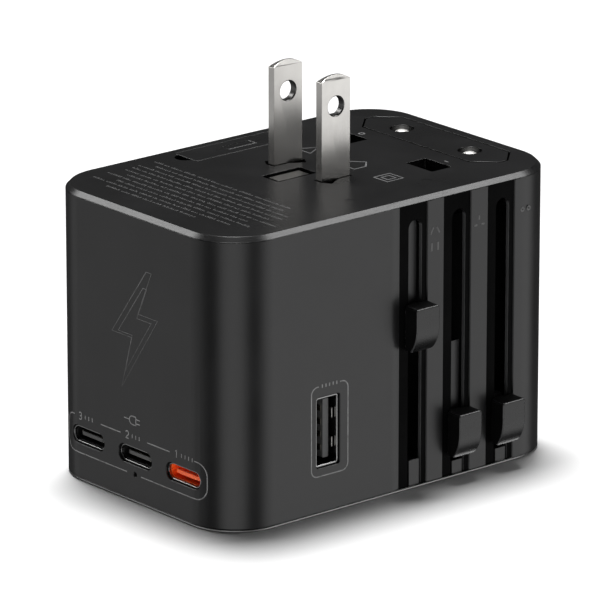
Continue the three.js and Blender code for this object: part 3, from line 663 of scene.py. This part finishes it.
LID_GAP = 0.06
RELIEF = 0.06
ON_TOP = ((1, 0, 0), (0, 1, 0), (0, 0, 1))
ON_FRONT = ((1, 0, 0), (0, 0, 1), (0, -1, 0))
ON_SIDE = ((0, 1, 0), (0, 0, 1), (1, 0, 0))
spread = Vector((GAP - LID_GAP, GAP - LID_GAP, 0))
lid = bar(LID_LOW - spread, LID_HIGH + spread, Z, radius=0.3, segments=3)
place("fuse_lid_plate", lid, "fuse_lid", "black_shell", [top_cover_shade_black], ["fuse_lid"], soften=0.08)
fuse_sign = [[(-1, -3), (1, -3), (1, 3), (-1, 3), (-1, -3)], [(0, -5), (0, 5)]]
raised = printed(fuse_sign, 0.35, RELIEF, ON_TOP, (LID_X, 1.5, TOP))
gloss_black = moulded("glossy_black_relief", (0.006, 0.006, 0.006), 0.18)
place("fuse_sign", raised, "fuse_lid", "black_shell", [gloss_black], soften=0)


# The socket-face cover is the same kind of plate at the bottom, which the adapter stands on. It has the
# openings of a world socket, and three toes that close the lower ends of the slider slots.
SOCKET_ROW = middle("live_socket_contact").y
FLAT_BLADE = (6.35, 10.6)  # how far the flat blades and the round or square pins stand from the middle
EARTH_Y = (-22.5, -13.9)
SMALL_EARTH_Y = (-11.4, -4.4)


def opening(x, half, ends, radius, segments):
    """An upright opening through the socket face."""
    return bar((x - half, ends[0], -CLEAR), (x + half, ends[1], FACE + CLEAR), Z, radius, segments)


socket_cuts = []
for side in (-1, 1):
    blade_x, pin_x = (side * aside for aside in FLAT_BLADE)
    socket_cuts.append(opening(blade_x, 1.1, (SOCKET_ROW - 3.7, SOCKET_ROW + 3.7), 0.3, 3))
    socket_cuts.append(opening(pin_x, 3.8, (SOCKET_ROW - 2.35, SOCKET_ROW + 2.35), 1.2, 6))
socket_cuts.append(opening(0, 2.2, EARTH_Y, 0.5, 4))
socket_cuts.append(opening(0, 2.5, SMALL_EARTH_Y, 2.4, 10))
socket_face = cover(0, BASE_RIM, corners("socket_face_cover")[1].z - 0.8, BASE_CHAMFER)
TOE_TOP = {"us": 5.2, "uk": 3, "eu": 3}
toes = []
for name, y in SLIDER_Y.items():
    toe_half = SLOT_WIDE / 2 - GAP
    toes.append(slab((SIDE - 4, y - toe_half, BASE_RIM - 0.2), (SIDE - 0.3, y + toe_half, TOE_TOP[name])))
socket_face = cut(joined(socket_face, toes), socket_cuts)
replaced = ["socket_face_cover"]
place("socket_face_plate", socket_face, "housing", "black_shell", [shell_black], replaced, soften=0.08)


# Each slider knob is a solid moulded tab. Its front is flat and curves back to the case at the bottom,
# so that a thumb can push it up; a narrow neck runs through the slot to the carriage. Its softened edges are
# painted a lighter black as a painted highlight, and its flanks and top are matt and painted a little darker
# as painted shade.
knob_black = moulded("satin_black_knob", (0.003, 0.003, 0.0032), 0.27)
# The softened edges get a black ten times lighter than the knob's: a painted highlight for the thin bright
# line along them.
knob_edge_highlight_paint = moulded("knob_edge_painted_highlight", (0.03, 0.03, 0.031), 0.24, grain=0.004)
# The flanks and top are matt, with low specular, and their black is darker than the front's: the darker
# colour is painted shade.
flank_shade_black = moulded("matt_flank_painted_shade", (0.002, 0.002, 0.0021), 0.55, specular=0.12)
KNOB_TOP_DROP = 0.15
KNOB_TOP_ROUND = 0.3
KNOB_FLAT_FROM = 4.9  # above this height over its lower edge the front is flat
KNOB_CURL = 1.6  # how far the lower end of the front has curved back
KNOB_TOE = 0.25
KNOB_CORNER = 0.6
KNOB_EDGE = 0.17
NECK_HALF = 1.15
FLANK, EDGE_HIGHLIGHT = 1, 2


def swept(start, pull, end, steps):
    """Points on a curve that leaves its start towards a pull point and arrives at its end from it."""
    points = []
    for i in range(steps + 1):
        t = i / steps
        shares = ((1 - t) ** 2, 2 * t * (1 - t), t * t)
        points.append(tuple(sum(map(operator.mul, shares, trio)) for trio in zip(start, pull, end)))
    return points


for name, y in SLIDER_Y.items():
    low, high = corners(name + "_knob")
    face_x = SIDE - CHANNEL_DEEP + GAP
    half = (high.y - low.y) / 2
    top = high.z - KNOB_TOP_DROP
    toe = (high.x - KNOB_CURL, low.z + KNOB_TOE)
    side = [(face_x, low.z), (face_x, high.z)]
    side += swept((high.x - KNOB_TOP_ROUND, top), (high.x, top), (high.x, top - KNOB_TOP_ROUND), 4)
    side += swept((high.x, low.z + KNOB_FLAT_FROM), (high.x - 0.05, low.z + 1.9), toe, 12)
    side += swept(toe, (toe[0] - 0.15, low.z), (toe[0] - 0.5, low.z), 4)
    tab = prism(side, -half, half)
    lay_down = Matrix(((1, 0, 0), (0, 0, -1), (0, 1, 0))).to_4x4()
    bmesh.ops.transform(tab, matrix=Matrix.Translation((0, y, 0)) @ lay_down, verts=tab.verts)
    bmesh.ops.recalc_face_normals(tab, faces=tab.faces)
    front_low, front_high = (face_x - CLEAR, y - half, low.z), (high.x + CLEAR, y + half, high.z)
    tab = combined(tab, [bar(front_low, front_high, X, KNOB_CORNER)], "INTERSECT")
    neck = slab((low.x, y - NECK_HALF, low.z + GAP), (face_x + 0.5, y + NECK_HALF, high.z - GAP))
    tab = joined(tab, [neck])
    # flanks and top take the darker matt black, which is painted shade
    for face in tab.faces:
        if abs(face.normal.y) > 0.97 or face.normal.z > 0.97:
            face.material_index = FLANK
    knob_finishes = [knob_black, flank_shade_black, knob_edge_highlight_paint]
    body, knob = name + "_carriage", name + "_knob"
    piece = place(knob + "_tab", tab, body, "black_shell", knob_finishes, [knob], soften=KNOB_EDGE)
    # the softened edges take the lighter black, a painted highlight
    piece.modifiers["soft_edges"].material = EDGE_HIGHLIGHT


# The two US blades are stamped from nickel-plated brass strip, with a coined rounded tip and a round eye.
# Each stands on a disc foot whose pin turns in the carriage.
def plated(name, colour, roughness, grain_axis, streak=0.05):
    """Plated metal with fine drawing lines along one axis and a few faint marks."""
    finish = Finish(name, Metallic=1.0)
    stretch = [1, 1, 1]
    stretch[grain_axis] = 0.03
    lines = finish.noise(scale=4200, stretch=stretch)
    cloud = finish.noise(scale=140)
    darker = tuple(channel * 0.82 for channel in colour)
    finish.paint(
        Base_Color=finish.between(finish.window(cloud, low=0.3, high=0.75), colour, darker),
        Roughness=roughness - 0.04 + streak * lines + 0.05 * cloud,
    )
    return finish.bumped(lines, depth=0.004)


nickel = plated("brushed_nickel", (0.66, 0.645, 0.62), 0.24, Z)
stamped_edge = plated("stamped_eye_wall", (0.16, 0.158, 0.155), 0.36, X)
TIP_RISE = 0.95
TIP_INWARD = 0.55
EYE_RADIUS = 1.7
EYE_BELOW_TIP = 5.5
EYE_EDGE = 0.18
FOOT_BELOW_FACE = 7.7
FOOT_RADIUS, FOOT_THICK = 3.4, 3
PIVOT_RADIUS = 1.3
for side, name in ((-1, "us_blade_left"), (1, "us_blade_right")):
    low, high = corners(name)
    centre = (low + high) / 2
    half_x, half_y = BLADE_THICK / 2, BLADE_WIDE / 2
    foot_top = TOP - FOOT_BELOW_FACE
    radius = (half_y**2 + TIP_RISE**2) / (2 * TIP_RISE)
    spread = math.degrees(math.asin(half_y / radius))
    outline = [(-half_y, foot_top - 0.5), (half_y, foot_top - 0.5)]
    outline += arc(0, high.z - radius, radius, 90 - spread, 90 + spread, 20)
    strip = prism(outline, -half_x, half_x)
    stand_up = Matrix(((0, 0, 1), (1, 0, 0), (0, 1, 0))).to_4x4()
    shift = Matrix.Translation((centre.x, centre.y, 0))
    bmesh.ops.transform(strip, matrix=shift @ stand_up, verts=strip.verts)
    shoulder = Vector((0, 0, high.z - TIP_RISE))
    for way in (-1, 1):
        facet = Vector((way * TIP_RISE, 0, TIP_INWARD)).normalized()
        whole = strip.verts[:] + strip.edges[:] + strip.faces[:]
        corner = shoulder + Vector((centre.x + way * half_x, 0, 0))
        sliced = bmesh.ops.bisect_plane(strip, geom=whole, plane_co=corner, plane_no=facet, clear_outer=True)
        rim = [e for e in sliced["geom_cut"] if isinstance(e, bmesh.types.BMEdge)]
        bmesh.ops.edgenet_fill(strip, edges=rim)
    bmesh.ops.recalc_face_normals(strip, faces=strip.faces)
    eye_z = high.z - EYE_BELOW_TIP
    eye = drum(EYE_RADIUS, (centre.x - 2, centre.y, eye_z), (centre.x + 2, centre.y, eye_z), sides=40)
    countersinks = []
    for way in (-1, 1):
        start = (centre.x + way * (half_x - EYE_EDGE), centre.y, eye_z)
        end = (centre.x + way * (half_x + EYE_EDGE), centre.y, eye_z)
        countersinks.append(drum(EYE_RADIUS, start, end, sides=40, tip=EYE_RADIUS + 2 * EYE_EDGE))
    foot_low, foot_high = (centre.x, centre.y, foot_top - FOOT_THICK), (centre.x, centre.y, foot_top)
    foot = drum(FOOT_RADIUS, foot_low, foot_high)
    pivot = drum(PIVOT_RADIUS, (centre.x, centre.y, low.z), (centre.x, centre.y, foot_top - 2), sides=24)
    blade = joined(cut(strip, [eye, *countersinks]), [foot, pivot])
    for face in blade.faces:
        from_eye = math.dist(face.calc_center_median().yz, (centre.y, eye_z))
        if abs(face.normal.x) < 0.9 and from_eye < EYE_RADIUS + 3 * EYE_EDGE:
            face.material_index = 1
    place(name + "_strip", blade, name, "nickel", [nickel, stamped_edge], [name], soften=0.04)


# The UK pins are machined brass, nickel-plated, with a bevelled nose. The live and neutral pins have a
# black insulating sleeve over their lower part, as the standard asks.
NOSE_INWARD = 0.6
NOSE_TALL = 3
BARE_TALL = 8.5
WRAP = 0.04
pin_nickel = plated("dull_nickel", (0.2, 0.197, 0.19), 0.28, Z)
pin_black = moulded("pin_sleeve_black", (0.01, 0.01, 0.01), 0.4)
for name in ("uk_pin_left", "uk_pin_right", "uk_earth_pin"):
    low, high = corners(name)
    pin = slab(low, high)
    nose = [edge for edge in pin.edges if all(abs(v.co.z - high.z) < 0.01 for v in edge.verts)]
    whole = pin.verts[:] + pin.edges[:] + pin.faces[:]
    bmesh.ops.bisect_plane(pin, geom=whole, plane_co=(0, 0, high.z - NOSE_TALL), plane_no=(0, 0, 1))
    for vertex in pin.verts:
        if vertex.co.z > high.z - NOSE_TALL / 2:
            vertex.co.x -= math.copysign(NOSE_INWARD, vertex.co.x - (low.x + high.x) / 2)
            vertex.co.y -= math.copysign(NOSE_INWARD, vertex.co.y - (low.y + high.y) / 2)
    bevelled(pin, nose, 0.1)
    place(name + "_metal", pin, "uk_carriage", "brass", [pin_nickel], [name], soften=0)
    if name != "uk_earth_pin":
        wrap = Vector((WRAP, WRAP, 0))
        sink = WRAP / 2  # the sleeve is moulded on, so it reaches a little into the metal
        sleeve_top = high.z - BARE_TALL
        tube = bar(low - wrap, (high.x + WRAP, high.y + WRAP, sleeve_top), Z, radius=0.32, segments=3)
        bore_low = low + Vector((sink, sink, -CLEAR))
        bore = slab(bore_low, (high.x - sink, high.y - sink, sleeve_top + CLEAR))
        place(name + "_sleeve", cut(tube, [bore]), "uk_carriage", "black_inner", [pin_black], soften=0)


# The EU plug is a long hexagonal block that rises out of the face. Its two round pins slide up through it
# and have domed nickel tips.
block_low, block_high = corners("eu_plug_block")
dome_nickel = plated("satin_nickel", (0.78, 0.77, 0.75), 0.5, Z)
EU_BORE_GAP = 0.15
eu_bores = []
for name in ("eu_pin_left", "eu_pin_right"):
    low, high = corners(name)
    centre = (low + high) / 2
    radius = (high.x - low.x) / 2
    bore_low = (centre.x, centre.y, block_low.z - CLEAR)
    bore_high = (centre.x, centre.y, block_high.z + CLEAR)
    eu_bores.append(drum(radius + EU_BORE_GAP, bore_low, bore_high))
    round_pin = drum(radius, (centre.x, centre.y, low.z), (centre.x, centre.y, high.z), sides=40)
    dome = [edge for edge in round_pin.edges if all(abs(v.co.z - high.z) < 0.01 for v in edge.verts)]
    bevelled(round_pin, dome, radius * 0.97, segments=10)
    place(name + "_metal", round_pin, "eu_carriage", "nickel", [dome_nickel], [name], soften=0)
hexagon = cut(prism(eu_outline(0), block_low.z, block_high.z), eu_bores)
place("eu_block_body", hexagon, "eu_block", "black_shell", [top_cover_shade_black], ["eu_plug_block"], soften=0.04)


# Each USB-C port is a drawn steel shell round a moulded tongue with twelve gold pads a side, in a plastic
# liner. The fast port has a bright orange tongue and liner; the other two have a grey tongue in a black one.
shell_steel = plated("port_shell_steel", (0.3, 0.3, 0.3), 0.2, Y, streak=0.02)
liner_black = moulded("liner_black", (0.006, 0.006, 0.006), 0.45)
tongue_grey = moulded("tongue_black", (0.06, 0.06, 0.06), 0.35)
orange = moulded("port_orange", (1.0, 0.13, 0.02), 0.3)
gold = plated("gold_pads", (0.75, 0.7, 0.6), 0.25, Y)
SHELL_WALL = 0.2
LINER_WALL = 0.14
LINER_GAP = 0.02
TONGUE_HALF = 0.35
PADS = 12
PAD_PITCH = 0.5
PAD_HALF = 0.17
PAD_PROUD = 0.06
for i in (1, 2, 3):
    low, high = corners(f"usb_c_shell_{i}")
    radius = (high.z - low.z) / 2 - 0.02
    wall = Vector((SHELL_WALL, -CLEAR, SHELL_WALL))
    hollow = bar(low + wall, high - wall, Y, radius - SHELL_WALL, segments=10)
    shell = cut(bar(low, high, Y, radius, segments=10), [hollow])
    replaced = [f"usb_c_shell_{i}"]
    place(f"usb_c_shell_{i}_steel", shell, "housing", "nickel", [shell_steel], replaced, soften=0.05)
    tongue_low, tongue_high = corners(f"usb_c_tongue_{i}")
    front, rear = tongue_low.y, tongue_high.y
    z = (tongue_low.z + tongue_high.z) / 2
    outer = Vector((SHELL_WALL + LINER_GAP, 0.5, SHELL_WALL + LINER_GAP))
    inner = outer + Vector((LINER_WALL, 0, LINER_WALL))
    hollow_high = high - inner
    hollow_high.y = rear - 0.9
    hollow_low = low + inner
    hollow_low.y = low.y - CLEAR
    hollow = bar(hollow_low, hollow_high, Y, radius - 0.4)
    liner = cut(bar(low + outer, high - outer, Y, radius - 0.25), [hollow])
    blade_low = (tongue_low.x, front, z - TONGUE_HALF)
    blade_high = (tongue_high.x, rear - 0.5, z + TONGUE_HALF)
    blade = bar(blade_low, blade_high, Z, radius=0.8, segments=5)
    pads = []
    for side in (-1, 1):
        pad_z = z + side * (TONGUE_HALF + 0.01)
        for k in range(PADS):
            x = (tongue_low.x + tongue_high.x) / 2 + (k - (PADS - 1) / 2) * PAD_PITCH
            pad_low = (x - PAD_HALF, front + 0.15, pad_z - PAD_PROUD / 2)
            pads.append(slab(pad_low, (x + PAD_HALF, rear - 1.2, pad_z + PAD_PROUD / 2)))
    moulding, lining, slot_name = tongue_grey, liner_black, "white_plastic"
    if i == 1:
        moulding, lining, slot_name = orange, orange, "orange_plastic"
    place(f"usb_c_liner_{i}", liner, "housing", slot_name, [lining], soften=0)
    replaced = [f"usb_c_tongue_{i}"]
    place(f"usb_c_tongue_{i}_blade", blade, "housing", slot_name, [moulding], replaced, soften=0.06)
    place(f"usb_c_pads_{i}", merged(pads), "housing", "brass", [gold], soften=0)


# The USB-A port is a folded steel shell with a thick tongue; four contacts lie on the tongue and two
# sprung fingers press in from the shell.
low, high = corners("usb_a_shell")
USB_A_WALL = 0.3
USB_A_TONGUE_HALF = 0.65
USB_A_TONGUE_ASIDE = 0.75
USB_A_CONTACT_Z = (-3.5, -1.1, 1.1, 3.5)
USB_A_FINGER_Z = (-2.6, 2.6)
FINGER_LEAN = 0.35
wall = Vector((-CLEAR, USB_A_WALL, USB_A_WALL))
hollow = bar(low + wall, high - wall, X, radius=0.3, segments=5)
shell = cut(bar(low, high, X, radius=0.5, segments=5), [hollow])
place("usb_a_shell_steel", shell, "housing", "nickel", [shell_steel], ["usb_a_shell"], soften=0.06)
tongue_low, tongue_high = corners("usb_a_tongue")
blade_y = (tongue_low.y + tongue_high.y) / 2 + USB_A_TONGUE_ASIDE
blade_low = (tongue_low.x + 1, blade_y - USB_A_TONGUE_HALF, tongue_low.z)
blade_high = (tongue_high.x, blade_y + USB_A_TONGUE_HALF, tongue_high.z)
tongue = bar(blade_low, blade_high, X, radius=0.2, segments=3)
rear_low = (tongue_low.x, tongue_low.y, tongue_low.z - 0.4)
rear = slab(rear_low, (tongue_low.x + 2.2, tongue_high.y, tongue_high.z + 0.4))
tongue = joined(tongue, [rear])
place("usb_a_tongue_blade", tongue, "housing", "white_plastic", [tongue_grey], ["usb_a_tongue"], soften=0.08)
contacts = []
z_middle = (tongue_low.z + tongue_high.z) / 2
for offset in USB_A_CONTACT_Z:
    z = z_middle + offset
    contact_low = (tongue_low.x + 3, blade_y - USB_A_TONGUE_HALF - 0.1, z - 0.5)
    contacts.append(slab(contact_low, (tongue_high.x - 0.5, blade_y - USB_A_TONGUE_HALF + 0.05, z + 0.5)))
place("usb_a_contacts", merged(contacts), "housing", "brass", [gold], soften=0)
fingers = []
for offset in USB_A_FINGER_Z:
    z = z_middle + offset
    for y, lean in ((high.y - USB_A_WALL, -FINGER_LEAN), (low.y + USB_A_WALL, FINGER_LEAN)):
        finger = slab((high.x - 6, y - 0.1, z - 0.9), (high.x - 0.8, y + 0.1, z + 0.9))
        for vertex in finger.verts:
            if vertex.co.x > high.x - 2:
                vertex.co.y += lean
        fingers.append(finger)
place("usb_a_fingers", merged(fingers), "housing", "nickel", [nickel], soften=0.04)


# The status light is the end of a clear plastic pipe in a pinhole under the middle port.
low, high = corners("light_pipe")
PIPE_BACK = 0.9
pipe_ends = ((LIGHT.x, low.y + PIPE_BACK, LIGHT.z), (LIGHT.x, high.y, LIGHT.z))
pipe = drum((high.x - low.x) / 2, *pipe_ends, sides=16)
smoke = moulded("smoked_light_pipe", (0.002, 0.002, 0.002), 0.3)
place("light_pipe_end", pipe, "housing", "white_plastic", [smoke], ["light_pipe"], soften=0.05)


# The signs round the ports are printed in thin grey ink: a broken frame round the three USB-C mouths, a plain
# plug, port numbers with power dots, and a large outlined bolt. The USB-A mouth has a frame of its own.
def ink(name, colour, roughness=0.5):
    """Pad-printed ink, slightly worn so that the base shows through in specks."""
    finish = Finish(name)
    worn = finish.window(finish.noise(scale=1500), low=0.5, high=0.72)
    finish.paint(
        Base_Color=finish.between(worn, colour, tuple(channel * 0.55 for channel in colour)),
        Roughness=roughness - 0.05 + 0.1 * worn,
    )
    return finish.bumped(worn, depth=0.003)


grey_ink = ink("grey_ink", (0.25, 0.25, 0.25))
faint_ink = ink("faint_ink", (0.12, 0.12, 0.121))
PORT_FRAME = ((-19.5, 5.15), (18.7, 11.8))
PORT_FRAME_ROUND = 2.3
PORT_LABEL_GAPS = [(-16.8, -9.3), (-3.9, 3.3), (9.5, 15.9)]
LIGHT_GAP = (-2.2, 1.6)
PRINT_WIDE, PRINT_THICK = 0.2, 0.02
POWER_BAR_PITCH = 0.95


def frame_paths(low, high, radius, top_gaps, bottom_gap=None):
    """A rounded frame whose top line is broken at some gaps, and whose bottom line may be too."""
    (u0, v0), (u1, v1) = low, high
    gaps = sorted(top_gaps)
    left = [(gaps[0][0], v1)] + arc(u0 + radius, v1 - radius, radius, 90, 180)
    left += arc(u0 + radius, v0 + radius, radius, 180, 270)
    rest = arc(u1 - radius, v0 + radius, radius, 270, 360) + arc(u1 - radius, v1 - radius, radius, 0, 90)
    rest += [(gaps[-1][1], v1)]
    paths = [[(a[1], v1), (b[0], v1)] for a, b in zip(gaps, gaps[1:])]
    if bottom_gap:
        return paths + [left + [(bottom_gap[0], v0)], [(bottom_gap[1], v0)] + rest]
    return paths + [left + rest]


def finely(path, step=0.7):
    """A path with points added so that it can follow the rounded corners."""
    fine = [path[0]]
    for first, last in zip(path, path[1:]):
        count = max(1, math.ceil(math.dist(first, last) / step))
        for i in range(1, count + 1):
            fine.append(tuple(a + (b - a) * i / count for a, b in zip(first, last)))
    return fine


def wrapped(mesh):
    """Carries print on the front round the two vertical corners, keeping its length."""
    flat = SIDE - CORNER
    for vertex in mesh.verts:
        over = abs(vertex.co.x) - flat
        if over > 0:
            turn, out = over / CORNER, CORNER + FRONT - vertex.co.y
            x = math.copysign(flat + out * math.sin(turn), vertex.co.x)
            vertex.co.x, vertex.co.y = x, FRONT + CORNER - out * math.cos(turn)
    return mesh


DIGITS = {
    "1": [[(-0.25, 0.4), (0.05, 0.65), (0.05, -0.65)]],
    "2": [arc(0, 0.25, 0.4, 160, -30) + [(-0.42, -0.65), (0.42, -0.65)]],
    "3": [arc(0, 0.3, 0.34, 150, -90) + arc(0, -0.3, 0.37, 90, -150)],
}
front_lines = frame_paths(*PORT_FRAME, PORT_FRAME_ROUND, PORT_LABEL_GAPS, LIGHT_GAP)
label_v = PORT_FRAME[1][1] + 0.1
for digit, u, power_bars in (("3", -15, 3), ("2", -2.1, 3), ("1", 11.2, 4)):
    front_lines += [[(u + x, label_v + y) for x, y in path] for path in DIGITS[digit]]
    for k in range(power_bars):
        bar_u = u + 1.4 + POWER_BAR_PITCH * k
        front_lines.append([(bar_u, label_v - 0.35), (bar_u, label_v + 0.35)])
plug_u, plug_v = -0.4, 14.8
plug_icon = [
    [(-2.5, 0), (-0.9, 0)],
    [(0.7, 0.75), (-0.3, 0.75)] + arc(-0.3, 0, 0.75, 90, 270) + [(0.7, -0.75), (0.7, 0.75)],
    [(0.7, 0.38), (1.8, 0.38)],
    [(0.7, -0.38), (1.8, -0.38)],
]
front_lines += [[(plug_u + x, plug_v + y) for x, y in path] for path in plug_icon]
front_lines = [finely(path) for path in front_lines]
front_mesh = wrapped(printed(front_lines, PRINT_WIDE, PRINT_THICK, ON_FRONT, (0, FRONT, 0)))
place("port_signs", front_mesh, "housing", "black_shell", [grey_ink], soften=0)
bolt = [(3.2, 11), (-6.2, -1.6), (-0.9, -1.6), (-3.6, -11), (6.2, 3), (0.9, 3), (4.6, 11)]
BOLT_CENTRE = (0.2, 31.2)
bolt_lines = []
for scale in (1, 0.72):
    bolt_lines.append([(BOLT_CENTRE[0] + x * scale, BOLT_CENTRE[1] + y * scale) for x, y in bolt])
bolt_mesh = printed(bolt_lines, PRINT_WIDE, PRINT_THICK, ON_FRONT, (0, FRONT, 0), closed=True)
place("bolt_sign", bolt_mesh, "housing", "black_shell", [faint_ink], soften=0)
USB_A_FRAME = ((-19.5, 7), (-11.4, 23.05))
side_lines = frame_paths(*USB_A_FRAME, 1.3, [(-17.9, -13.2)])
side_lines += [[(u, 22.75), (u, 23.35)] for u in (-17.1, -16.3, -15.5, -14.7, -13.9)]
side_mesh = printed(side_lines, 0.22, PRINT_THICK, ON_SIDE, (SIDE, 0, 0))
place("usb_a_signs", side_mesh, "housing", "black_shell", [grey_ink], soften=0)


# Beside each channel the plug that it works is shown as pins, raised from the sleeve and painted a lighter
# grey as a painted highlight:
# two flat blades upright and aslant, three flat pins, and two round pins.
def spot(u, v, radius=0.32):
    return arc(u, v, radius, 0, 360, 12)


relief = [
    [(7.3, 42), (7.3, 43.4)],
    [(8.7, 42), (8.7, 43.4)],
    [(7, 45), (7.6, 46.2)],
    [(9, 45), (8.4, 46.2)],
    [(16.9, 44.6), (17.6, 44.6)],
    [(18.5, 44.6), (19.2, 44.6)],
    [(18.05, 45.5), (18.05, 46.3)],
    spot(28, 45.4),
    spot(29.4, 45.4),
]
# a grey much lighter than the sleeve's black: a painted highlight on the raised pins
raised_sign_highlight_paint = moulded("raised_sign_highlight_paint", (0.07, 0.07, 0.07), 0.28)
relief_mesh = printed(relief, 0.36, 0.07, ON_SIDE, (SIDE, 0, 0))
place("slider_signs", relief_mesh, "housing", "black_shell", [raised_sign_highlight_paint], soften=0)


# The plug face carries rows of very small print, done here as plain broken bars, and a row of simple
# marks: a double square, a house, a ring with a bar and a triangle. A ring or bar marks each pin opening.
random.seed(7)
PRINT_ROWS = [
    (-20.6, 13.5, -16.2),
    (-18.3, 16.5, -17.9),
    (-20.8, 18.4, -19.6),
    (-20.4, 18.9, -21.3),
    (-20.2, 17.9, -23.0),
    (-17.5, 18.6, -24.7),
    (-20.7, 17.2, -26.4),
    (-16.2, 18.8, -28.1),
    (-20.5, 16.1, -29.8),
    (-14.8, 9.6, -31.5),
]
LETTER_PITCH = 0.46
WORD_GAP = 0.4
FACE_PRINT_THICK = 0.012
bars = []
for start, end, v in PRINT_ROWS:
    u = start
    while u < end:
        for _ in range(random.randint(3, 9)):
            tall = random.choice((0.3, 0.42, 0.55))
            lean = random.uniform(-0.12, 0.12)
            bars.append([(u, v - 0.3), (u + lean, v - 0.3 + tall)])
            u += LETTER_PITCH
        u += WORD_GAP
print_mesh = printed(bars, 0.17, FACE_PRINT_THICK, ON_TOP, (0, 0, TOP))
place("small_print", print_mesh, "housing", "black_shell", [faint_ink], soften=0)
marks = [
    [(10.6, 6.6), (14.2, 6.6), (14.2, 10.2), (10.6, 10.2), (10.6, 6.6)],
    [(11.5, 7.5), (13.3, 7.5), (13.3, 9.3), (11.5, 9.3), (11.5, 7.5)],
    [(0.8, 7.2), (0.8, 9.8), (2.8, 11.6), (4.8, 9.8), (4.8, 7.2), (0.8, 7.2)],
    arc(-3.6, 9.4, 2.1, 0, 360, 24),
    [(-5.1, 7.9), (-2.1, 10.9)],
    [(-11.2, 7.6), (-7.4, 7.6), (-9.3, 11), (-11.2, 7.6)],
    spot(-11, 22.4, 0.5),
    [(11, 22.4), (12, 22.4)],
]
mark_ink = ink("mark_ink", (0.14, 0.14, 0.142))
mark_mesh = printed(marks, 0.32, FACE_PRINT_THICK, ON_TOP, (0, 0, TOP))
place("face_marks", mark_mesh, "housing", "black_shell", [mark_ink], soften=0)


# Inside, the pieces that the sleeve hides keep the design's shapes: black nylon carriages and guides, brass
# contacts and bars, plated springs, green boards with their parts, and glass fuses.
inner_black = moulded("nylon_black", (0.0125, 0.0125, 0.013), 0.36)
brass = plated("stamped_brass", (0.72, 0.47, 0.18), 0.3, Z)
white = moulded("off_white_nylon", (0.55, 0.53, 0.48), 0.45)
yellow = moulded("yellow_case", (0.62, 0.4, 0.04), 0.4)
can = plated("drawn_aluminium", (0.55, 0.56, 0.58), 0.32, Z)
ferrite = moulded("sintered_ferrite", (0.03, 0.03, 0.034), 0.7, 0.03)
board = moulded("green_board", (0.012, 0.09, 0.04), 0.35)
copper = plated("enamelled_copper", (0.55, 0.2, 0.07), 0.28, X)
glass = moulded("fuse_glass_tube", (0.5, 0.55, 0.55), 0.12)
INSIDE = {
    channel_black: ["slider_guide"],
    inner_black: ["fuse_holder", "insulating_sheet", "power_chip", "us_carrier", "uk_carrier", "eu_carrier"],
    brass: [
        "live_bus_bar",
        "neutral_bus_bar",
        "live_socket_contact",
        "neutral_socket_contact",
        "earth_socket_contact",
    ],
    nickel: [
        "fuse_clip_front",
        "fuse_clip_rear",
        "us_wiper_left",
        "us_wiper_right",
        "uk_wiper_left",
        "uk_wiper_right",
    ],
    white: ["socket_shutter"],
    yellow: ["safety_capacitor"],
    can: ["mains_capacitor", "output_capacitor"],
    ferrite: ["transformer_core", "input_choke"],
    board: ["usb_c_board", "usb_a_board", "main_board"],
    copper: ["transformer_winding"],
    glass: ["working_fuse", "spare_fuse"],
}
for finish, names in INSIDE.items():
    for name in names:
        for material_slot in frame["nodes"][name].material_slots:
            material_slot.material = finish.data


# A flat zigzag spring of plated wire pushes the socket shutter shut. It stands against a wall of the housing
# at one end, and the shutter presses it together as it opens; here the share it would be pressed to is worked
# out, but the wire keeps its resting shape.
low, high = corners("shutter_spring")
joints = {joint["name"]: joint for joint in frame["record"]["behaviour"]["joints"]}
travel = joints["shutter_slide"]["range_m"][1] / MM
wire = bmesh.new()
wire.from_mesh(frame["nodes"]["shutter_spring"].data)
bmesh.ops.scale(wire, vec=(1 / MM, 1 / MM, 1 / MM), verts=wire.verts)
bmesh.ops.remove_doubles(wire, verts=wire.verts, dist=0.001)
spring = place("shutter_spring_wire", wire, "housing", "nickel", [shell_steel], ["shutter_spring"])
pressed = 1 - travel / (high.y - low.y)
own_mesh(spring)

low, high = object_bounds()
